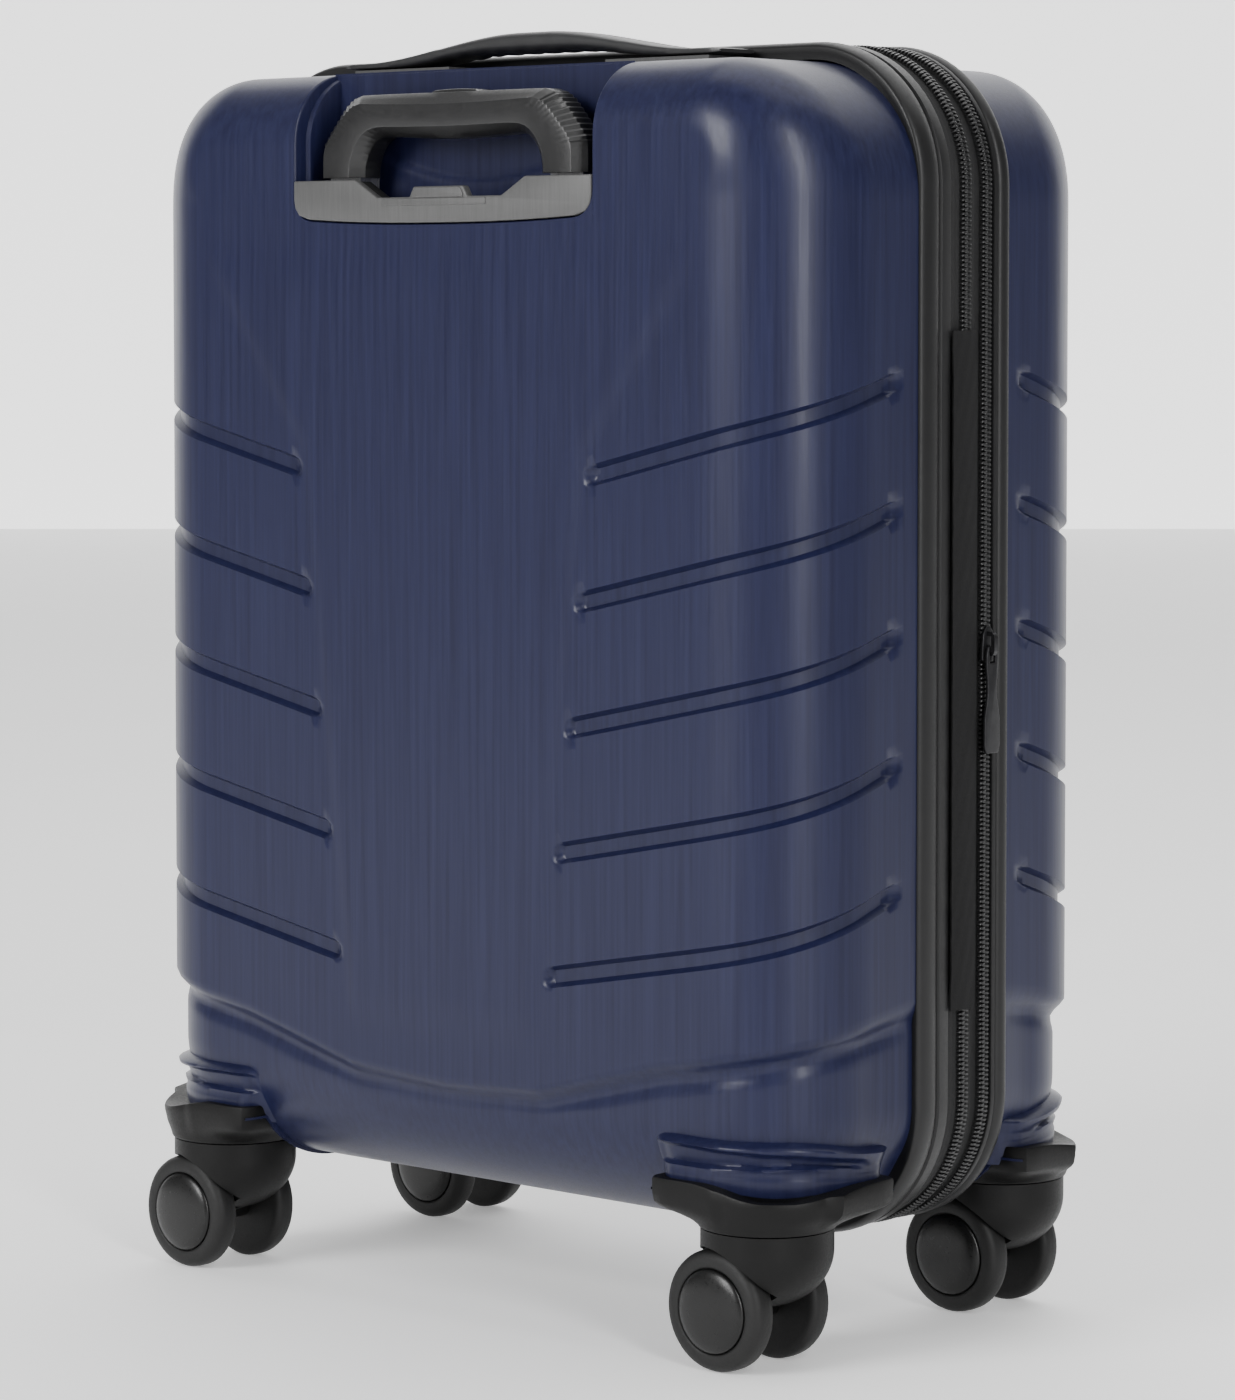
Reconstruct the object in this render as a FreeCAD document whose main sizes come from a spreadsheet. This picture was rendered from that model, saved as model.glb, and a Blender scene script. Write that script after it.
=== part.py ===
import FreeCAD, Part
import math
import os
import re
import Sketcher

# Hard shell cabin suitcase on four swivelling double wheels.
# Millimetres, +Z up.  The origin is on the floor under the middle of the case,
# X runs across its width, Y through its depth: the trolley handle is at the back, +Y.

Vector = FreeCAD.Vector
doc = FreeCAD.newDocument("Suitcase")
sheet = doc.addObject("Spreadsheet::Sheet", "Dims")

DIMENSIONS = {
    # Shell halves: one outline across X and Z, deep drawn towards +Y or -Y
    "shell_half": 195.5,
    "shell_bottom": 48,
    "shell_top": 535,
    "shell_corner": 57,
    "shell_edge": 45,
    "shell_depth": 107,
    "wall": 3,
    # Rims that stand proud of the shells and close over their edges
    "rim_half": 198,
    "rim_bottom": 45.5,
    "rim_top": 543.5,
    "rim_corner": 60,
    "rim_inset": 9.3,
    "rim_flange": 5.5,
    "back_rim_low": 8.5,
    "back_rim_high": 28.3,
    "front_rim_low": -31.3,
    "front_rim_high": -20.3,
    # Zips: two rings around the case, the second one lets the case grow deeper
    "zip_half": 196,
    "zip_bottom": 47.5,
    "zip_top": 541.5,
    "zip_corner": 58,
    "zip_thick": 2,
    "main_zip": -2,
    "expansion_zip": -15.7,
    "tape_low": -13,
    "tape_high": -8.5,
    "zip_gap": 0.15,
    "gusset_inset": 9.7,
    "gusset_thick": 1.2,
    # Cloth hinge on the -X side
    "hinge_low": 142.4,
    "hinge_high": 424.2,
    "hinge_thick": 1.5,
    # Linings
    "lining_inset": 9.6,
    "lining_thick": 1,
    "back_lining_depth": 76,
    "front_lining_depth": 97,
    "divider_inset": 6,
    "divider_thick": 2,
    # Wheel wells and casters
    "well_side": 118,
    "well_front": 40,
    "well_top": 76,
    "housing_low": 62,
    "housing_proud": 3,
    "housing_edge": 40,
    "housing_corner": 50,
    "swivel_across": 158,
    "swivel_deep": 78,
    "stem_radius": 5,
    "stem_play": 0.05,
    "fork_disc": 27.5,
    "neck_low": 50,
    "bowl_low": 26,
    "disc_top": 58.5,
    "disc_gap": 0.6,
    "neck_radius": 28.5,
    "trail": 10,
    "wheel_radius": 25.3,
    "wheel_width": 11.5,
    "wheel_gap": 12.5,
    "axle_radius": 3,
    "cap_radius": 17.5,
    "web_half": 3.5,
    # Trolley recess, tubes and grip
    "recess_half": 88,
    "recess_floor": 468,
    "recess_wall": 80,
    "tube_across": 65,
    "tube_deep": 92,
    "tube_foot": 112,
    "outer_wide": 24,
    "outer_deep": 17,
    "middle_wide": 21.2,
    "middle_deep": 14.2,
    "inner_wide": 18.4,
    "inner_deep": 11.4,
    "tube_wall": 1.2,
    "bezel_lip": 488,
    "bezel_mid": 480,
    "bezel_face": 108,
    "grip_low": 489,
    "grip_under": 507,
    "grip_top": 524.5,
    "grip_half": 78,
    "grip_leg": 52,
    "grip_front": 84,
    "grip_back": 104,
    "button_half": 14,
    "button_proud": 1.5,
    "rod_radius": 2,
    # Carry handles
    "handle_half": 110,
    "handle_wide": 24,
    "handle_deep": 42,
    "flap_low": 3.5,
    "flap_high": 8,
    "bow_low": 8,
    "bow_high": 17,
    "side_bow_high": 12.5,
    "side_middle": 310,
    # Lock in the +X side
    "lock_low": 263,
    "lock_high": 327,
    "lock_front": 10,
    "lock_back": 26,
    "lock_inner": 188,
    "lock_face": 203,
    "dial_radius": 5.5,
    "dial_axis": 199,
    "dial_thick": 6,
    # Zip sliders and pulls
    "slider_thick": 3.6,
    "slider_half": 4.2,
    "slider_tall": 15,
    "pull_long": 38,
    "pull_half": 5,
    "expansion_slider_up": 294,
    # Pattern pressed into both shells
    "groove_deep": 1.2,
    "groove_wide": 5,
}

for row, (alias, number) in enumerate(DIMENSIONS.items(), 1):
    sheet.set("A%d" % row, alias)
    sheet.set("B%d" % row, str(number))
    sheet.setAlias("B%d" % row, alias)
doc.recompute()

NODES = []

# Limits well outside the case, for tools that cut right through it
PAST_SIDE = 240
PAST_DEEP = 140
PAST_BOTTOM = 20
PAST_TOP = 600
# Length of tools that cut right through one small piece
THROUGH = 30


def linked(text):
    """An expression in which each dimension's name points at its cell."""
    def point(match):
        word = match.group()
        return "Dims." + word if word in DIMENSIONS else word
    return re.sub(r"[a-z_]+[a-z0-9_]*", point, str(text))


def node(thing, label):
    """Names a finished sub-part, which also names its file."""
    thing.Label = label
    NODES.append(thing)
    return thing


def box(name, across, deep, up):
    """A box between the low and high values given along X, Y and Z."""
    block = doc.addObject("Part::Box", name)
    for size, place, (low, high) in (
        ("Length", "x", across),
        ("Width", "y", deep),
        ("Height", "z", up),
    ):
        block.setExpression(size, linked("(%s) - (%s)" % (high, low)))
        block.setExpression("Placement.Base." + place, linked(low))
    return block


TURNS = {
    "Z": FreeCAD.Rotation(),
    "Y": FreeCAD.Rotation(Vector(1, 0, 0), -90),
    "X": FreeCAD.Rotation(Vector(0, 1, 0), 90),
}


def cylinder(name, radius, length, start, axis="Z"):
    """A cylinder that runs from start along +X, +Y or +Z."""
    rod = doc.addObject("Part::Cylinder", name)
    rod.Placement = FreeCAD.Placement(Vector(), TURNS[axis])
    rod.setExpression("Radius", linked(radius))
    rod.setExpression("Height", linked(length))
    for place, text in zip("xyz", start):
        rod.setExpression("Placement.Base." + place, linked(text))
    return rod


def fuse(name, *parts):
    joined = doc.addObject("Part::MultiFuse", name)
    joined.Shapes = list(parts)
    return joined


def group(name, *parts):
    """Separate solids of one kind that share a node."""
    several = doc.addObject("Part::Compound", name)
    several.Links = list(parts)
    return several


def cut(name, base, *tools):
    result = doc.addObject("Part::Cut", name)
    result.Base = base
    result.Tool = tools[0] if len(tools) == 1 else fuse(name + "_tools", *tools)
    return result


def sketch_on(body, name, role, offset):
    """A sketch parallel to one of the body's origin planes, offset along its normal."""
    sketch = body.newObject("Sketcher::SketchObject", name)
    plane = next(p for p in body.Origin.OriginFeatures if p.Role == role)
    sketch.AttachmentSupport = [(plane, "")]
    sketch.MapMode = "FlatFace"
    sketch.setExpression("AttachmentOffset.Base.z", linked(offset))
    return sketch


def polygon(sketch, corners):
    """A closed outline whose corners are held by expressions."""
    first = sketch.GeometryCount
    count = len(corners)
    turn = 2 * math.pi / count
    places = [Vector(10 * math.cos(turn * i), 10 * math.sin(turn * i), 0) for i in range(count)]
    for i in range(count):
        sketch.addGeometry(Part.LineSegment(places[i], places[(i + 1) % count]))
    for i in range(count):
        following = first + (i + 1) % count
        sketch.addConstraint(Sketcher.Constraint("Coincident", first + i, 2, following, 1))
    for i, corner in enumerate(corners):
        for kind, text, at in (
            ("DistanceX", corner[0], places[i].x),
            ("DistanceY", corner[1], places[i].y),
        ):
            held = sketch.addConstraint(Sketcher.Constraint(kind, -1, 1, first + i, 1, at))
            sketch.setExpression("Constraints[%d]" % held, linked(text))


def pad(body, name, outlines, deep):
    """Material between two depths, for outlines drawn across X and Z."""
    sketch = sketch_on(body, name + "_sketch", "XZ_Plane", "-(%s)" % deep[1])
    for outline in outlines:
        polygon(sketch, outline)
    feature = body.newObject("PartDesign::Pad", name)
    feature.Profile = sketch
    feature.setExpression("Length", linked("(%s) - (%s)" % (deep[1], deep[0])))
    return feature


def pocket(body, name, outlines, deep):
    """Removes material between two depths, for outlines drawn across X and Z."""
    sketch = sketch_on(body, name + "_sketch", "XZ_Plane", "-(%s)" % deep[0])
    for outline in outlines:
        polygon(sketch, outline)
    doc.recompute()
    before = body.Shape.Volume
    feature = body.newObject("PartDesign::Pocket", name)
    feature.Profile = sketch
    feature.setExpression("Length", linked("(%s) - (%s)" % (deep[1], deep[0])))
    doc.recompute()
    if body.Shape.Volume > before - 1:
        raise ValueError(name + " removes nothing")
    return feature


def block_outline(across, up):
    return [(across[0], up[0]), (across[1], up[0]), (across[1], up[1]), (across[0], up[1])]


def round_edges(body, name, radius, chosen):
    """Rounds the edges of the body that the test picks out."""
    doc.recompute()
    base = body.Tip
    names = ["Edge%d" % i for i, edge in enumerate(base.Shape.Edges, 1) if chosen(edge)]
    feature = body.newObject("PartDesign::Fillet", name)
    feature.Base = (base, names)
    feature.setExpression("Radius", linked(radius))
    doc.recompute()
    return feature


def along_depth(edge):
    return edge.BoundBox.YLength > 1 and edge.BoundBox.XLength < 0.1 and edge.BoundBox.ZLength < 0.1


def at_depth(deep):
    def test(edge):
        return abs(edge.BoundBox.YMin - deep) < 0.1 and abs(edge.BoundBox.YMax - deep) < 0.1
    return test


def rounded_slab(name, half, low, high, corner, deep):
    """A rounded rectangle seen from the back, as thick as the two depths say."""
    body = doc.addObject("PartDesign::Body", name)
    pad(body, name + "_pad", [block_outline(("-(%s)" % half, half), (low, high))], deep)
    round_edges(body, name + "_corners", corner, along_depth)
    return body


def both_sides(outline):
    """The same outline on +X and, mirrored, on -X."""
    return [outline, [("-(%s)" % across, up) for across, up in reversed(outline)]]


# ---------------------------------------------------------------- shells and linings

GROOVES = 5
GROOVE_LOWEST, GROOVE_STEP, GROOVE_RISE = 154.4, 52.4, 22.8
GROOVE_INNER, GROOVE_INNER_STEP, GROOVE_OUTER = 62, 5.9, 149


def groove_outlines():
    outlines = []
    for i in range(GROOVES):
        start = GROOVE_INNER + GROOVE_INNER_STEP * i
        low = GROOVE_LOWEST + GROOVE_STEP * i
        outlines += both_sides([
            (start, "%s - groove_wide / 2" % low),
            (GROOVE_OUTER, "%s - groove_wide / 2" % (low + GROOVE_RISE)),
            (GROOVE_OUTER, "%s + groove_wide / 2" % (low + GROOVE_RISE)),
            (start, "%s + groove_wide / 2" % low),
        ])
    return outlines


def tub_solid(name, side, inset, depth, rim, recess, grooves):
    """The space inside one half's outline, inset all over: side is 1 for the back half, -1 for the front."""
    far = "%s" % depth if side > 0 else "-(%s)" % depth
    deep = (rim, far) if side > 0 else (far, rim)
    body = rounded_slab(
        name, "shell_half - %s" % inset, "shell_bottom + %s" % inset, "shell_top - %s" % inset,
        "shell_corner - %s" % inset, deep)
    closed = body.Shape.BoundBox.YMax if side > 0 else body.Shape.BoundBox.YMin
    round_edges(body, name + "_edge", "shell_edge - %s" % inset, at_depth(closed))
    near = "well_front - %s" % inset
    wells = (near, PAST_DEEP) if side > 0 else (-PAST_DEEP, "-(%s)" % near)
    corner = block_outline(("well_side - %s" % inset, PAST_SIDE), (PAST_BOTTOM, "well_top + %s" % inset))
    pocket(body, name + "_wells", both_sides(corner), wells)
    if recess:
        opening = block_outline(
            ("-(recess_half + %s)" % inset, "recess_half + %s" % inset),
            ("recess_floor - %s" % inset, PAST_TOP))
        pocket(body, name + "_recess", [opening], ("recess_wall - %s" % inset, PAST_DEEP))
    if grooves:
        floor = "shell_depth - groove_deep"
        face = (floor, PAST_DEEP) if side > 0 else (-PAST_DEEP, "-(%s)" % floor)
        pocket(body, name + "_grooves", groove_outlines(), face)
    return body


def lock_space(name):
    """The hole through the side that the lock sits in."""
    return box(name, ("lock_inner", PAST_SIDE), ("lock_front", "lock_back"), ("lock_low", "lock_high"))


def tube_holes(name, wide, deep, low, high):
    """Two upright rectangular prisms on the tubes' centre lines."""
    return [
        box(
            "%s_%s" % (name, side),
            ("%s - %s / 2" % (centre, wide), "%s + %s / 2" % (centre, wide)),
            ("tube_deep - %s / 2" % deep, "tube_deep + %s / 2" % deep),
            (low, high))
        for side, centre in (("left", "-tube_across"), ("right", "tube_across"))
    ]


back_outer = tub_solid("back_outer", 1, 0, "shell_depth", "back_rim_low + rim_flange", True, True)
back_inner = tub_solid("back_inner", 1, "wall", "shell_depth - wall", 0, True, False)
node(
    cut("back_shell_cut", back_outer, back_inner, lock_space("lock_space_shell"),
        *tube_holes("floor_hole", "outer_wide", "outer_deep", "recess_floor - 10", "recess_floor + 1")),
    "back_shell")

front_outer = tub_solid("front_outer", -1, 0, "shell_depth", "front_rim_high - rim_flange", False, True)
front_inner = tub_solid("front_inner", -1, "wall", "shell_depth - wall", 0, False, False)
node(cut("front_shell_cut", front_outer, front_inner), "front_shell")

for label, side, depth, rim in (
    ("back_lining", 1, "back_lining_depth", "back_rim_low + rim_flange + 0.3"),
    ("front_lining", -1, "front_lining_depth", "front_rim_low - divider_thick - 1.2"),
):
    inner_rim = "back_rim_low" if side > 0 else 0
    cloth = tub_solid(label + "_outer", side, "lining_inset", depth, rim, False, False)
    hollow = tub_solid(
        label + "_hollow", side, "(lining_inset + lining_thick)", depth + " - lining_thick", inner_rim,
        False, False)
    tools = [hollow, lock_space("lock_space_lining")] if side > 0 else [hollow]
    node(cut(label + "_cut", cloth, *tools), label)

# ---------------------------------------------------------------- rims, zips, gusset, divider


def ring(name, half, low, high, corner, thick, deep):
    """A band around the case: the outline given, less the same outline inset by thick."""
    outer = rounded_slab(name + "_outer", half, low, high, corner, deep)
    inner = rounded_slab(
        name + "_inner", "%s - %s" % (half, thick), "%s + %s" % (low, thick), "%s - %s" % (high, thick),
        "%s - %s" % (corner, thick), ("%s - 1" % deep[0], "%s + 1" % deep[1]))
    return cut(name + "_ring", outer, inner)


def rim(name, deep, seat):
    """A rim: it covers the shell's edge and has an inner flange the edge butts against."""
    outer = rounded_slab(name + "_outer", "rim_half", "rim_bottom", "rim_top", "rim_corner", deep)
    inner = rounded_slab(
        name + "_inner", "shell_half - rim_inset", "shell_bottom + rim_inset", "shell_top - rim_inset",
        "shell_corner - rim_inset",
        ("%s - 1" % deep[0], "%s + 1" % deep[1]))
    edge = rounded_slab(name + "_seat", "shell_half", "shell_bottom", "shell_top", "shell_corner", seat)
    return outer, inner, edge


outer, inner, seat = rim(
    "back_rim", ("back_rim_low", "back_rim_high"), ("back_rim_low + rim_flange", "back_rim_high + 1"))
node(cut("back_trim_cut", outer, inner, seat, lock_space("lock_space_rim")), "back_trim")
outer, inner, seat = rim(
    "front_rim", ("front_rim_low", "front_rim_high"), ("front_rim_low - 1", "front_rim_high - rim_flange"))
node(cut("front_trim_cut", outer, inner, seat), "front_trim")

ZIP_OUTLINE = ("zip_half", "zip_bottom", "zip_top", "zip_corner", "zip_thick")
for label, deep in (
    ("main_zip_back", ("main_zip + zip_gap", "back_rim_low")),
    ("main_zip_front", ("tape_high", "main_zip - zip_gap")),
    ("expansion_zip_back", ("expansion_zip + zip_gap", "tape_low")),
    ("expansion_zip_front", ("front_rim_high", "expansion_zip - zip_gap")),
):
    node(ring(label, *ZIP_OUTLINE, deep), label)

node(
    ring("zip_tape", "zip_half - 1.5", "zip_bottom + 1.5", "zip_top - 1.5", "zip_corner - 1.5", 8,
         ("tape_low", "tape_high")),
    "zip_tape_band")
node(
    ring("gusset", "shell_half - gusset_inset", "shell_bottom + gusset_inset", "shell_top - gusset_inset",
         "shell_corner - gusset_inset", "gusset_thick", ("front_rim_low + 1", "tape_low")),
    "expansion_gusset")
node(
    box("hinge_box", ("-rim_half", "-rim_half + hinge_thick"), ("main_zip + 0.3", "back_rim_low"),
        ("hinge_low", "hinge_high")),
    "cloth_hinge")
node(
    rounded_slab("divider_slab", "shell_half - divider_inset", "shell_bottom + divider_inset",
                 "shell_top - divider_inset", "shell_corner - divider_inset",
                 ("front_rim_low - divider_thick - 1", "front_rim_low - 1")),
    "divider_panel")

STRAP_UP, STRAP_WIDE, STRAP_THICK = 235, 30, 1.5
STRAP_FACE = 22
BUCKLE_HALF, BUCKLE_TALL_HALF, BUCKLE_THICK = 22, 19, 9
BUCKLE_FACE = STRAP_FACE - 3
straps = [
    box("strap_%d" % turn,
        (BUCKLE_HALF, "shell_half - lining_inset - lining_thick") if turn > 0
        else ("lining_inset + lining_thick - shell_half", -BUCKLE_HALF),
        (STRAP_FACE, STRAP_FACE + STRAP_THICK),
        (STRAP_UP - STRAP_WIDE / 2, STRAP_UP + STRAP_WIDE / 2))
    for turn in (1, -1)
]
node(group("straps", *straps), "packing_straps")
node(
    box("buckle", (-BUCKLE_HALF, BUCKLE_HALF), (BUCKLE_FACE, BUCKLE_FACE + BUCKLE_THICK),
        (STRAP_UP - BUCKLE_TALL_HALF, STRAP_UP + BUCKLE_TALL_HALF)),
    "strap_buckle")

# ---------------------------------------------------------------- carry handles

# Where the handle's outline turns, measured from its middle, and its two end plates
BOW_END, BOW_SHOULDER = 46, 58
FLAP_START, FLAP_SHOULDER = 72, 84
BRACKET_ENDS = (46, 104)
BRACKET_THICK = 3.2
ON_SIDE = FreeCAD.Placement(Vector(), FreeCAD.Rotation(Vector(0, 1, 0), 90))


def carry_handle(name, bow_high, turn):
    """A handle along X, standing on the plane Z = 0; turn stands it up along Z for the side."""
    body = doc.addObject("PartDesign::Body", name)
    half = "handle_half"
    outline = [
        ("-" + half, "flap_low"), (-FLAP_START, "flap_low"), (-BOW_END, "bow_low"), (BOW_END, "bow_low"),
        (FLAP_START, "flap_low"), (half, "flap_low"), (half, "flap_high"), (FLAP_SHOULDER, "flap_high"),
        (BOW_SHOULDER, bow_high), (-BOW_SHOULDER, bow_high), (-FLAP_SHOULDER, "flap_high"),
        ("-" + half, "flap_high"),
    ]
    pad(body, name + "_pad", [outline], ("-handle_wide / 2", "handle_wide / 2"))
    round_edges(
        body, name + "_round", 1.8,
        lambda edge: edge.BoundBox.YLength < 0.1 and abs(edge.BoundBox.Center.x) < 90
        and edge.BoundBox.XLength > 15)
    if turn:
        body.Placement = ON_SIDE
    return body


def bracket_pair(name, place, turn):
    """The two plates under a handle's ends."""
    plates = [
        box("%s_%s" % (name, side), across, ("-handle_wide / 2 + 1", "handle_wide / 2 - 1"),
            (0, BRACKET_THICK))
        for side, across in (("low", (-BRACKET_ENDS[1], -BRACKET_ENDS[0])), ("high", BRACKET_ENDS))
    ]
    pair = group(name, *plates)
    if turn:
        pair.Placement = ON_SIDE
    for axis, text in zip("xyz", place):
        pair.setExpression("Placement.Base." + axis, linked(text))
    return pair


brackets = []
for label, place, bow, turn in (
    ("top_handle", (0, "handle_deep", "shell_top"), "bow_high", False),
    ("side_handle", ("shell_half", "handle_deep + 12", "side_middle"), "side_bow_high", True),
):
    handle = carry_handle(label + "_body", bow, turn)
    for axis, text in zip("xyz", place):
        handle.setExpression("Placement.Base." + axis, linked(text))
    node(handle, label)
    brackets.append(bracket_pair(label + "_brackets", place, turn))
node(group("all_brackets", *brackets), "handle_brackets")

# ---------------------------------------------------------------- trolley


def tube_pair(label, wide, deep, low, high):
    """Two hollow rectangular tubes."""
    inner_wide = "(%s - 2 * tube_wall)" % wide
    inner_deep = "(%s - 2 * tube_wall)" % deep
    solids = tube_holes(label + "_outside", wide, deep, low, high)
    hollows = tube_holes(label + "_inside", inner_wide, inner_deep, "%s - 1" % low, "%s + 1" % high)
    tubes = [cut("%s_%d" % (label, i), s, h) for i, (s, h) in enumerate(zip(solids, hollows))]
    node(group(label + "_pair", *tubes), label)


tube_pair("trolley_outer_tubes", "outer_wide", "outer_deep", "tube_foot + 10", "recess_floor")
tube_pair("trolley_middle_tubes", "middle_wide", "middle_deep", "tube_foot + 15", "recess_floor + 14")
tube_pair("trolley_inner_tubes", "inner_wide", "inner_deep", "tube_foot + 22", "grip_low + 12")
node(
    box("foot", ("-tube_across - 15", "tube_across + 15"), ("tube_deep - 9", "tube_deep + 9"),
        ("tube_foot", "tube_foot + 10")),
    "trolley_foot")

NOTCH_FLOOR, NOTCH_MOUTH = 38, 50
bezel = doc.addObject("PartDesign::Body", "bezel")
edge = "(recess_half - 0.3)"
pad(bezel, "bezel_lip_wall", [[
    ("-" + edge, "recess_floor"), (edge, "recess_floor"), (edge, "bezel_lip"), (NOTCH_MOUTH, "bezel_lip"),
    (NOTCH_FLOOR, "bezel_mid"), (-NOTCH_FLOOR, "bezel_mid"), (-NOTCH_MOUTH, "bezel_lip"),
    ("-" + edge, "bezel_lip"),
]], ("bezel_face - 3", "bezel_face"))
pad(bezel, "bezel_floor", [block_outline(("-" + edge, edge), ("recess_floor", "recess_floor + 4"))],
    ("recess_wall + 0.3", "bezel_face - 3"))
round_edges(bezel, "bezel_soft", 1, at_depth(DIMENSIONS["bezel_face"]))
node(
    cut("bezel_cut", bezel,
        *tube_holes("bezel_hole", "(middle_wide + 0.6)", "(middle_deep + 0.6)", "recess_floor - 10",
                    "bezel_lip + 10")),
    "trolley_bezel")

grip = doc.addObject("PartDesign::Body", "grip")
pad(grip, "grip_arch", [[
    ("-grip_half", "grip_low"), ("-grip_leg", "grip_low"), ("-grip_leg", "grip_under - 8"),
    ("8 - grip_leg", "grip_under"), ("grip_leg - 8", "grip_under"), ("grip_leg", "grip_under - 8"),
    ("grip_leg", "grip_low"), ("grip_half", "grip_low"), ("grip_half", "grip_top - 17"),
    ("grip_half - 14", "grip_top"), ("14 - grip_half", "grip_top"), ("-grip_half", "grip_top - 17"),
]], ("grip_front", "grip_back"))
round_edges(
    grip, "grip_soft", 2.5,
    lambda e: any(at_depth(DIMENSIONS[face])(e) for face in ("grip_front", "grip_back"))
    and e.BoundBox.Center.z > DIMENSIONS["grip_low"] + 11)
button_space = box(
    "button_space", ("-button_half - 0.2", "button_half + 0.2"), ("tube_deep - 6.2", "tube_deep + 6.2"),
    ("grip_under + 7", "grip_top + 2"))
channel = box(
    "rod_channel", ("-tube_across - 4", "tube_across + 4"), ("tube_deep - 3", "tube_deep + 3"),
    ("grip_under + 1.3", "grip_under + 8"))
rod_holes = [
    cylinder("rod_hole_%d" % i, "rod_radius + 0.5", 16, (across, "tube_deep", "grip_low + 5"))
    for i, across in enumerate(("-tube_across", "tube_across"))
]
node(
    cut("grip_cut", grip, button_space, channel, *rod_holes,
        *tube_holes("socket", "inner_wide", "inner_deep", "grip_low - 1", "grip_low + 12")),
    "trolley_grip")
node(
    box("button", ("-button_half", "button_half"), ("tube_deep - 6", "tube_deep + 6"),
        ("grip_under + 12", "grip_top + button_proud")),
    "release_button")
yoke = box(
    "yoke", ("-tube_across - 2.5", "tube_across + 2.5"), ("tube_deep - 2.5", "tube_deep + 2.5"),
    ("grip_under + 4.5", "grip_under + 7.5"))
post = box("yoke_post", (-8, 8), ("tube_deep - 2.5", "tube_deep + 2.5"),
           ("grip_under + 7.5", "grip_under + 12"))
rods = [
    cylinder("rod_%d" % i, "rod_radius", "grip_under + 4.5 - tube_foot - 40",
             (across, "tube_deep", "tube_foot + 40"))
    for i, across in enumerate(("-tube_across", "tube_across"))
]
node(fuse("yoke_fuse", yoke, post, *rods), "release_rods")

# ---------------------------------------------------------------- lock

DIALS = (273, 283, 293)
LOCK_SHAFT = 1.5
LOCK_KEY_LOW, LOCK_KEY_HIGH, LOCK_KEY_HALF = 304, 318, 4
PLAY = 0.2
lock_box = box(
    "lock_box", ("lock_inner", "lock_face"), ("lock_front + 0.1", "lock_back - 0.1"),
    ("lock_low + 0.1", "lock_high - 0.1"))
middle = "(lock_front + lock_back) / 2"
slots = [
    box("dial_slot_%d" % up, ("dial_axis - dial_radius - 0.6", PAST_SIDE),
        (middle + " - dial_radius - 0.6", middle + " + dial_radius + 0.6"),
        ("%d - dial_thick / 2 - 0.3" % up, "%d + dial_thick / 2 + 0.3" % up))
    for up in DIALS
]
key_reach = LOCK_KEY_HALF + PLAY
key_space = box(
    "lock_button_space", ("lock_face - 6.2", PAST_SIDE),
    ("%s - %s" % (middle, key_reach), "%s + %s" % (middle, key_reach)),
    (LOCK_KEY_LOW - PLAY, LOCK_KEY_HIGH + PLAY))
lock_open = cut("lock_open", lock_box, *slots, key_space)
shaft = cylinder("lock_shaft", LOCK_SHAFT, "%d - %d" % (DIALS[-1] + 5, DIALS[0] - 5),
                 ("dial_axis", middle, DIALS[0] - 5))
node(fuse("lock_fuse", lock_open, shaft), "lock_body")
for number, up in enumerate(DIALS, 1):
    disc = cylinder("dial_%d" % number, "dial_radius", "dial_thick",
                    ("dial_axis", middle, "%d - dial_thick / 2" % up))
    bore = cylinder("dial_bore_%d" % number, LOCK_SHAFT + 0.05, THROUGH,
                    ("dial_axis", middle, up - THROUGH / 2))
    node(cut("lock_dial_cut_%d" % number, disc, bore), "lock_dial_%d" % number)
node(
    box("lock_key", ("lock_face - 3.2", "lock_face + 1.5"),
        ("%s - %s" % (middle, LOCK_KEY_HALF), "%s + %s" % (middle, LOCK_KEY_HALF)),
        (LOCK_KEY_LOW, LOCK_KEY_HIGH)),
    "lock_button")

# ---------------------------------------------------------------- zip sliders and pulls


def slider_and_pull(name, side, deep, low):
    """A slider outside a zip, with a small bridge, and the pull that hangs from the bridge."""
    face = "(zip_half + 0.3)"
    top = "(%s + slider_tall)" % low

    def outward(start, end):
        """Two distances out from the zip's face, as a span along X on this side."""
        if side > 0:
            return ("%s + %s" % (face, start), "%s + %s" % (face, end))
        return ("-%s - %s" % (face, end), "-%s - %s" % (face, start))

    plate = box(name + "_plate", outward(0, 2.2),
                ("%s - slider_half" % deep, "%s + slider_half" % deep), (low, top))
    bridge = box(name + "_bridge", outward(2.2, 6.2), ("%s - 1.1" % deep, "%s + 1.1" % deep),
                 ("%s + 2" % low, "%s - 2" % top))
    gap = box(name + "_gap", outward(2.1, 5.1), ("%s - 3" % deep, "%s + 3" % deep),
              ("%s + 4" % low, "%s - 4" % top))
    node(cut(name + "_slider_cut", fuse(name + "_slider_fuse", plate, bridge), gap), name + "_slider")

    loop = box(name + "_loop", outward(2.7, 4.3), ("%s - pull_half + 1" % deep, "%s + pull_half - 1" % deep),
               ("%s - 3.2" % low, "%s + 7" % low))
    hole = box(name + "_hole", outward(2.2, 5), ("%s - 2" % deep, "%s + 2" % deep),
               ("%s - 0.5" % low, "%s + 5" % low))
    grip_plate = box(name + "_tab", outward(2.7, 4.3), ("%s - pull_half" % deep, "%s + pull_half" % deep),
                     ("%s - pull_long" % low, "%s - 3.2" % low))
    node(fuse(name + "_pull_fuse", cut(name + "_loop_cut", loop, hole), grip_plate), name + "_pull")


slider_and_pull("expansion", -1, "expansion_zip", "(expansion_slider_up - slider_tall / 2)")
slider_and_pull("upper_zip", 1, "main_zip", 352)
slider_and_pull("lower_zip", 1, "main_zip", 210)

# ---------------------------------------------------------------- casters

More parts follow.
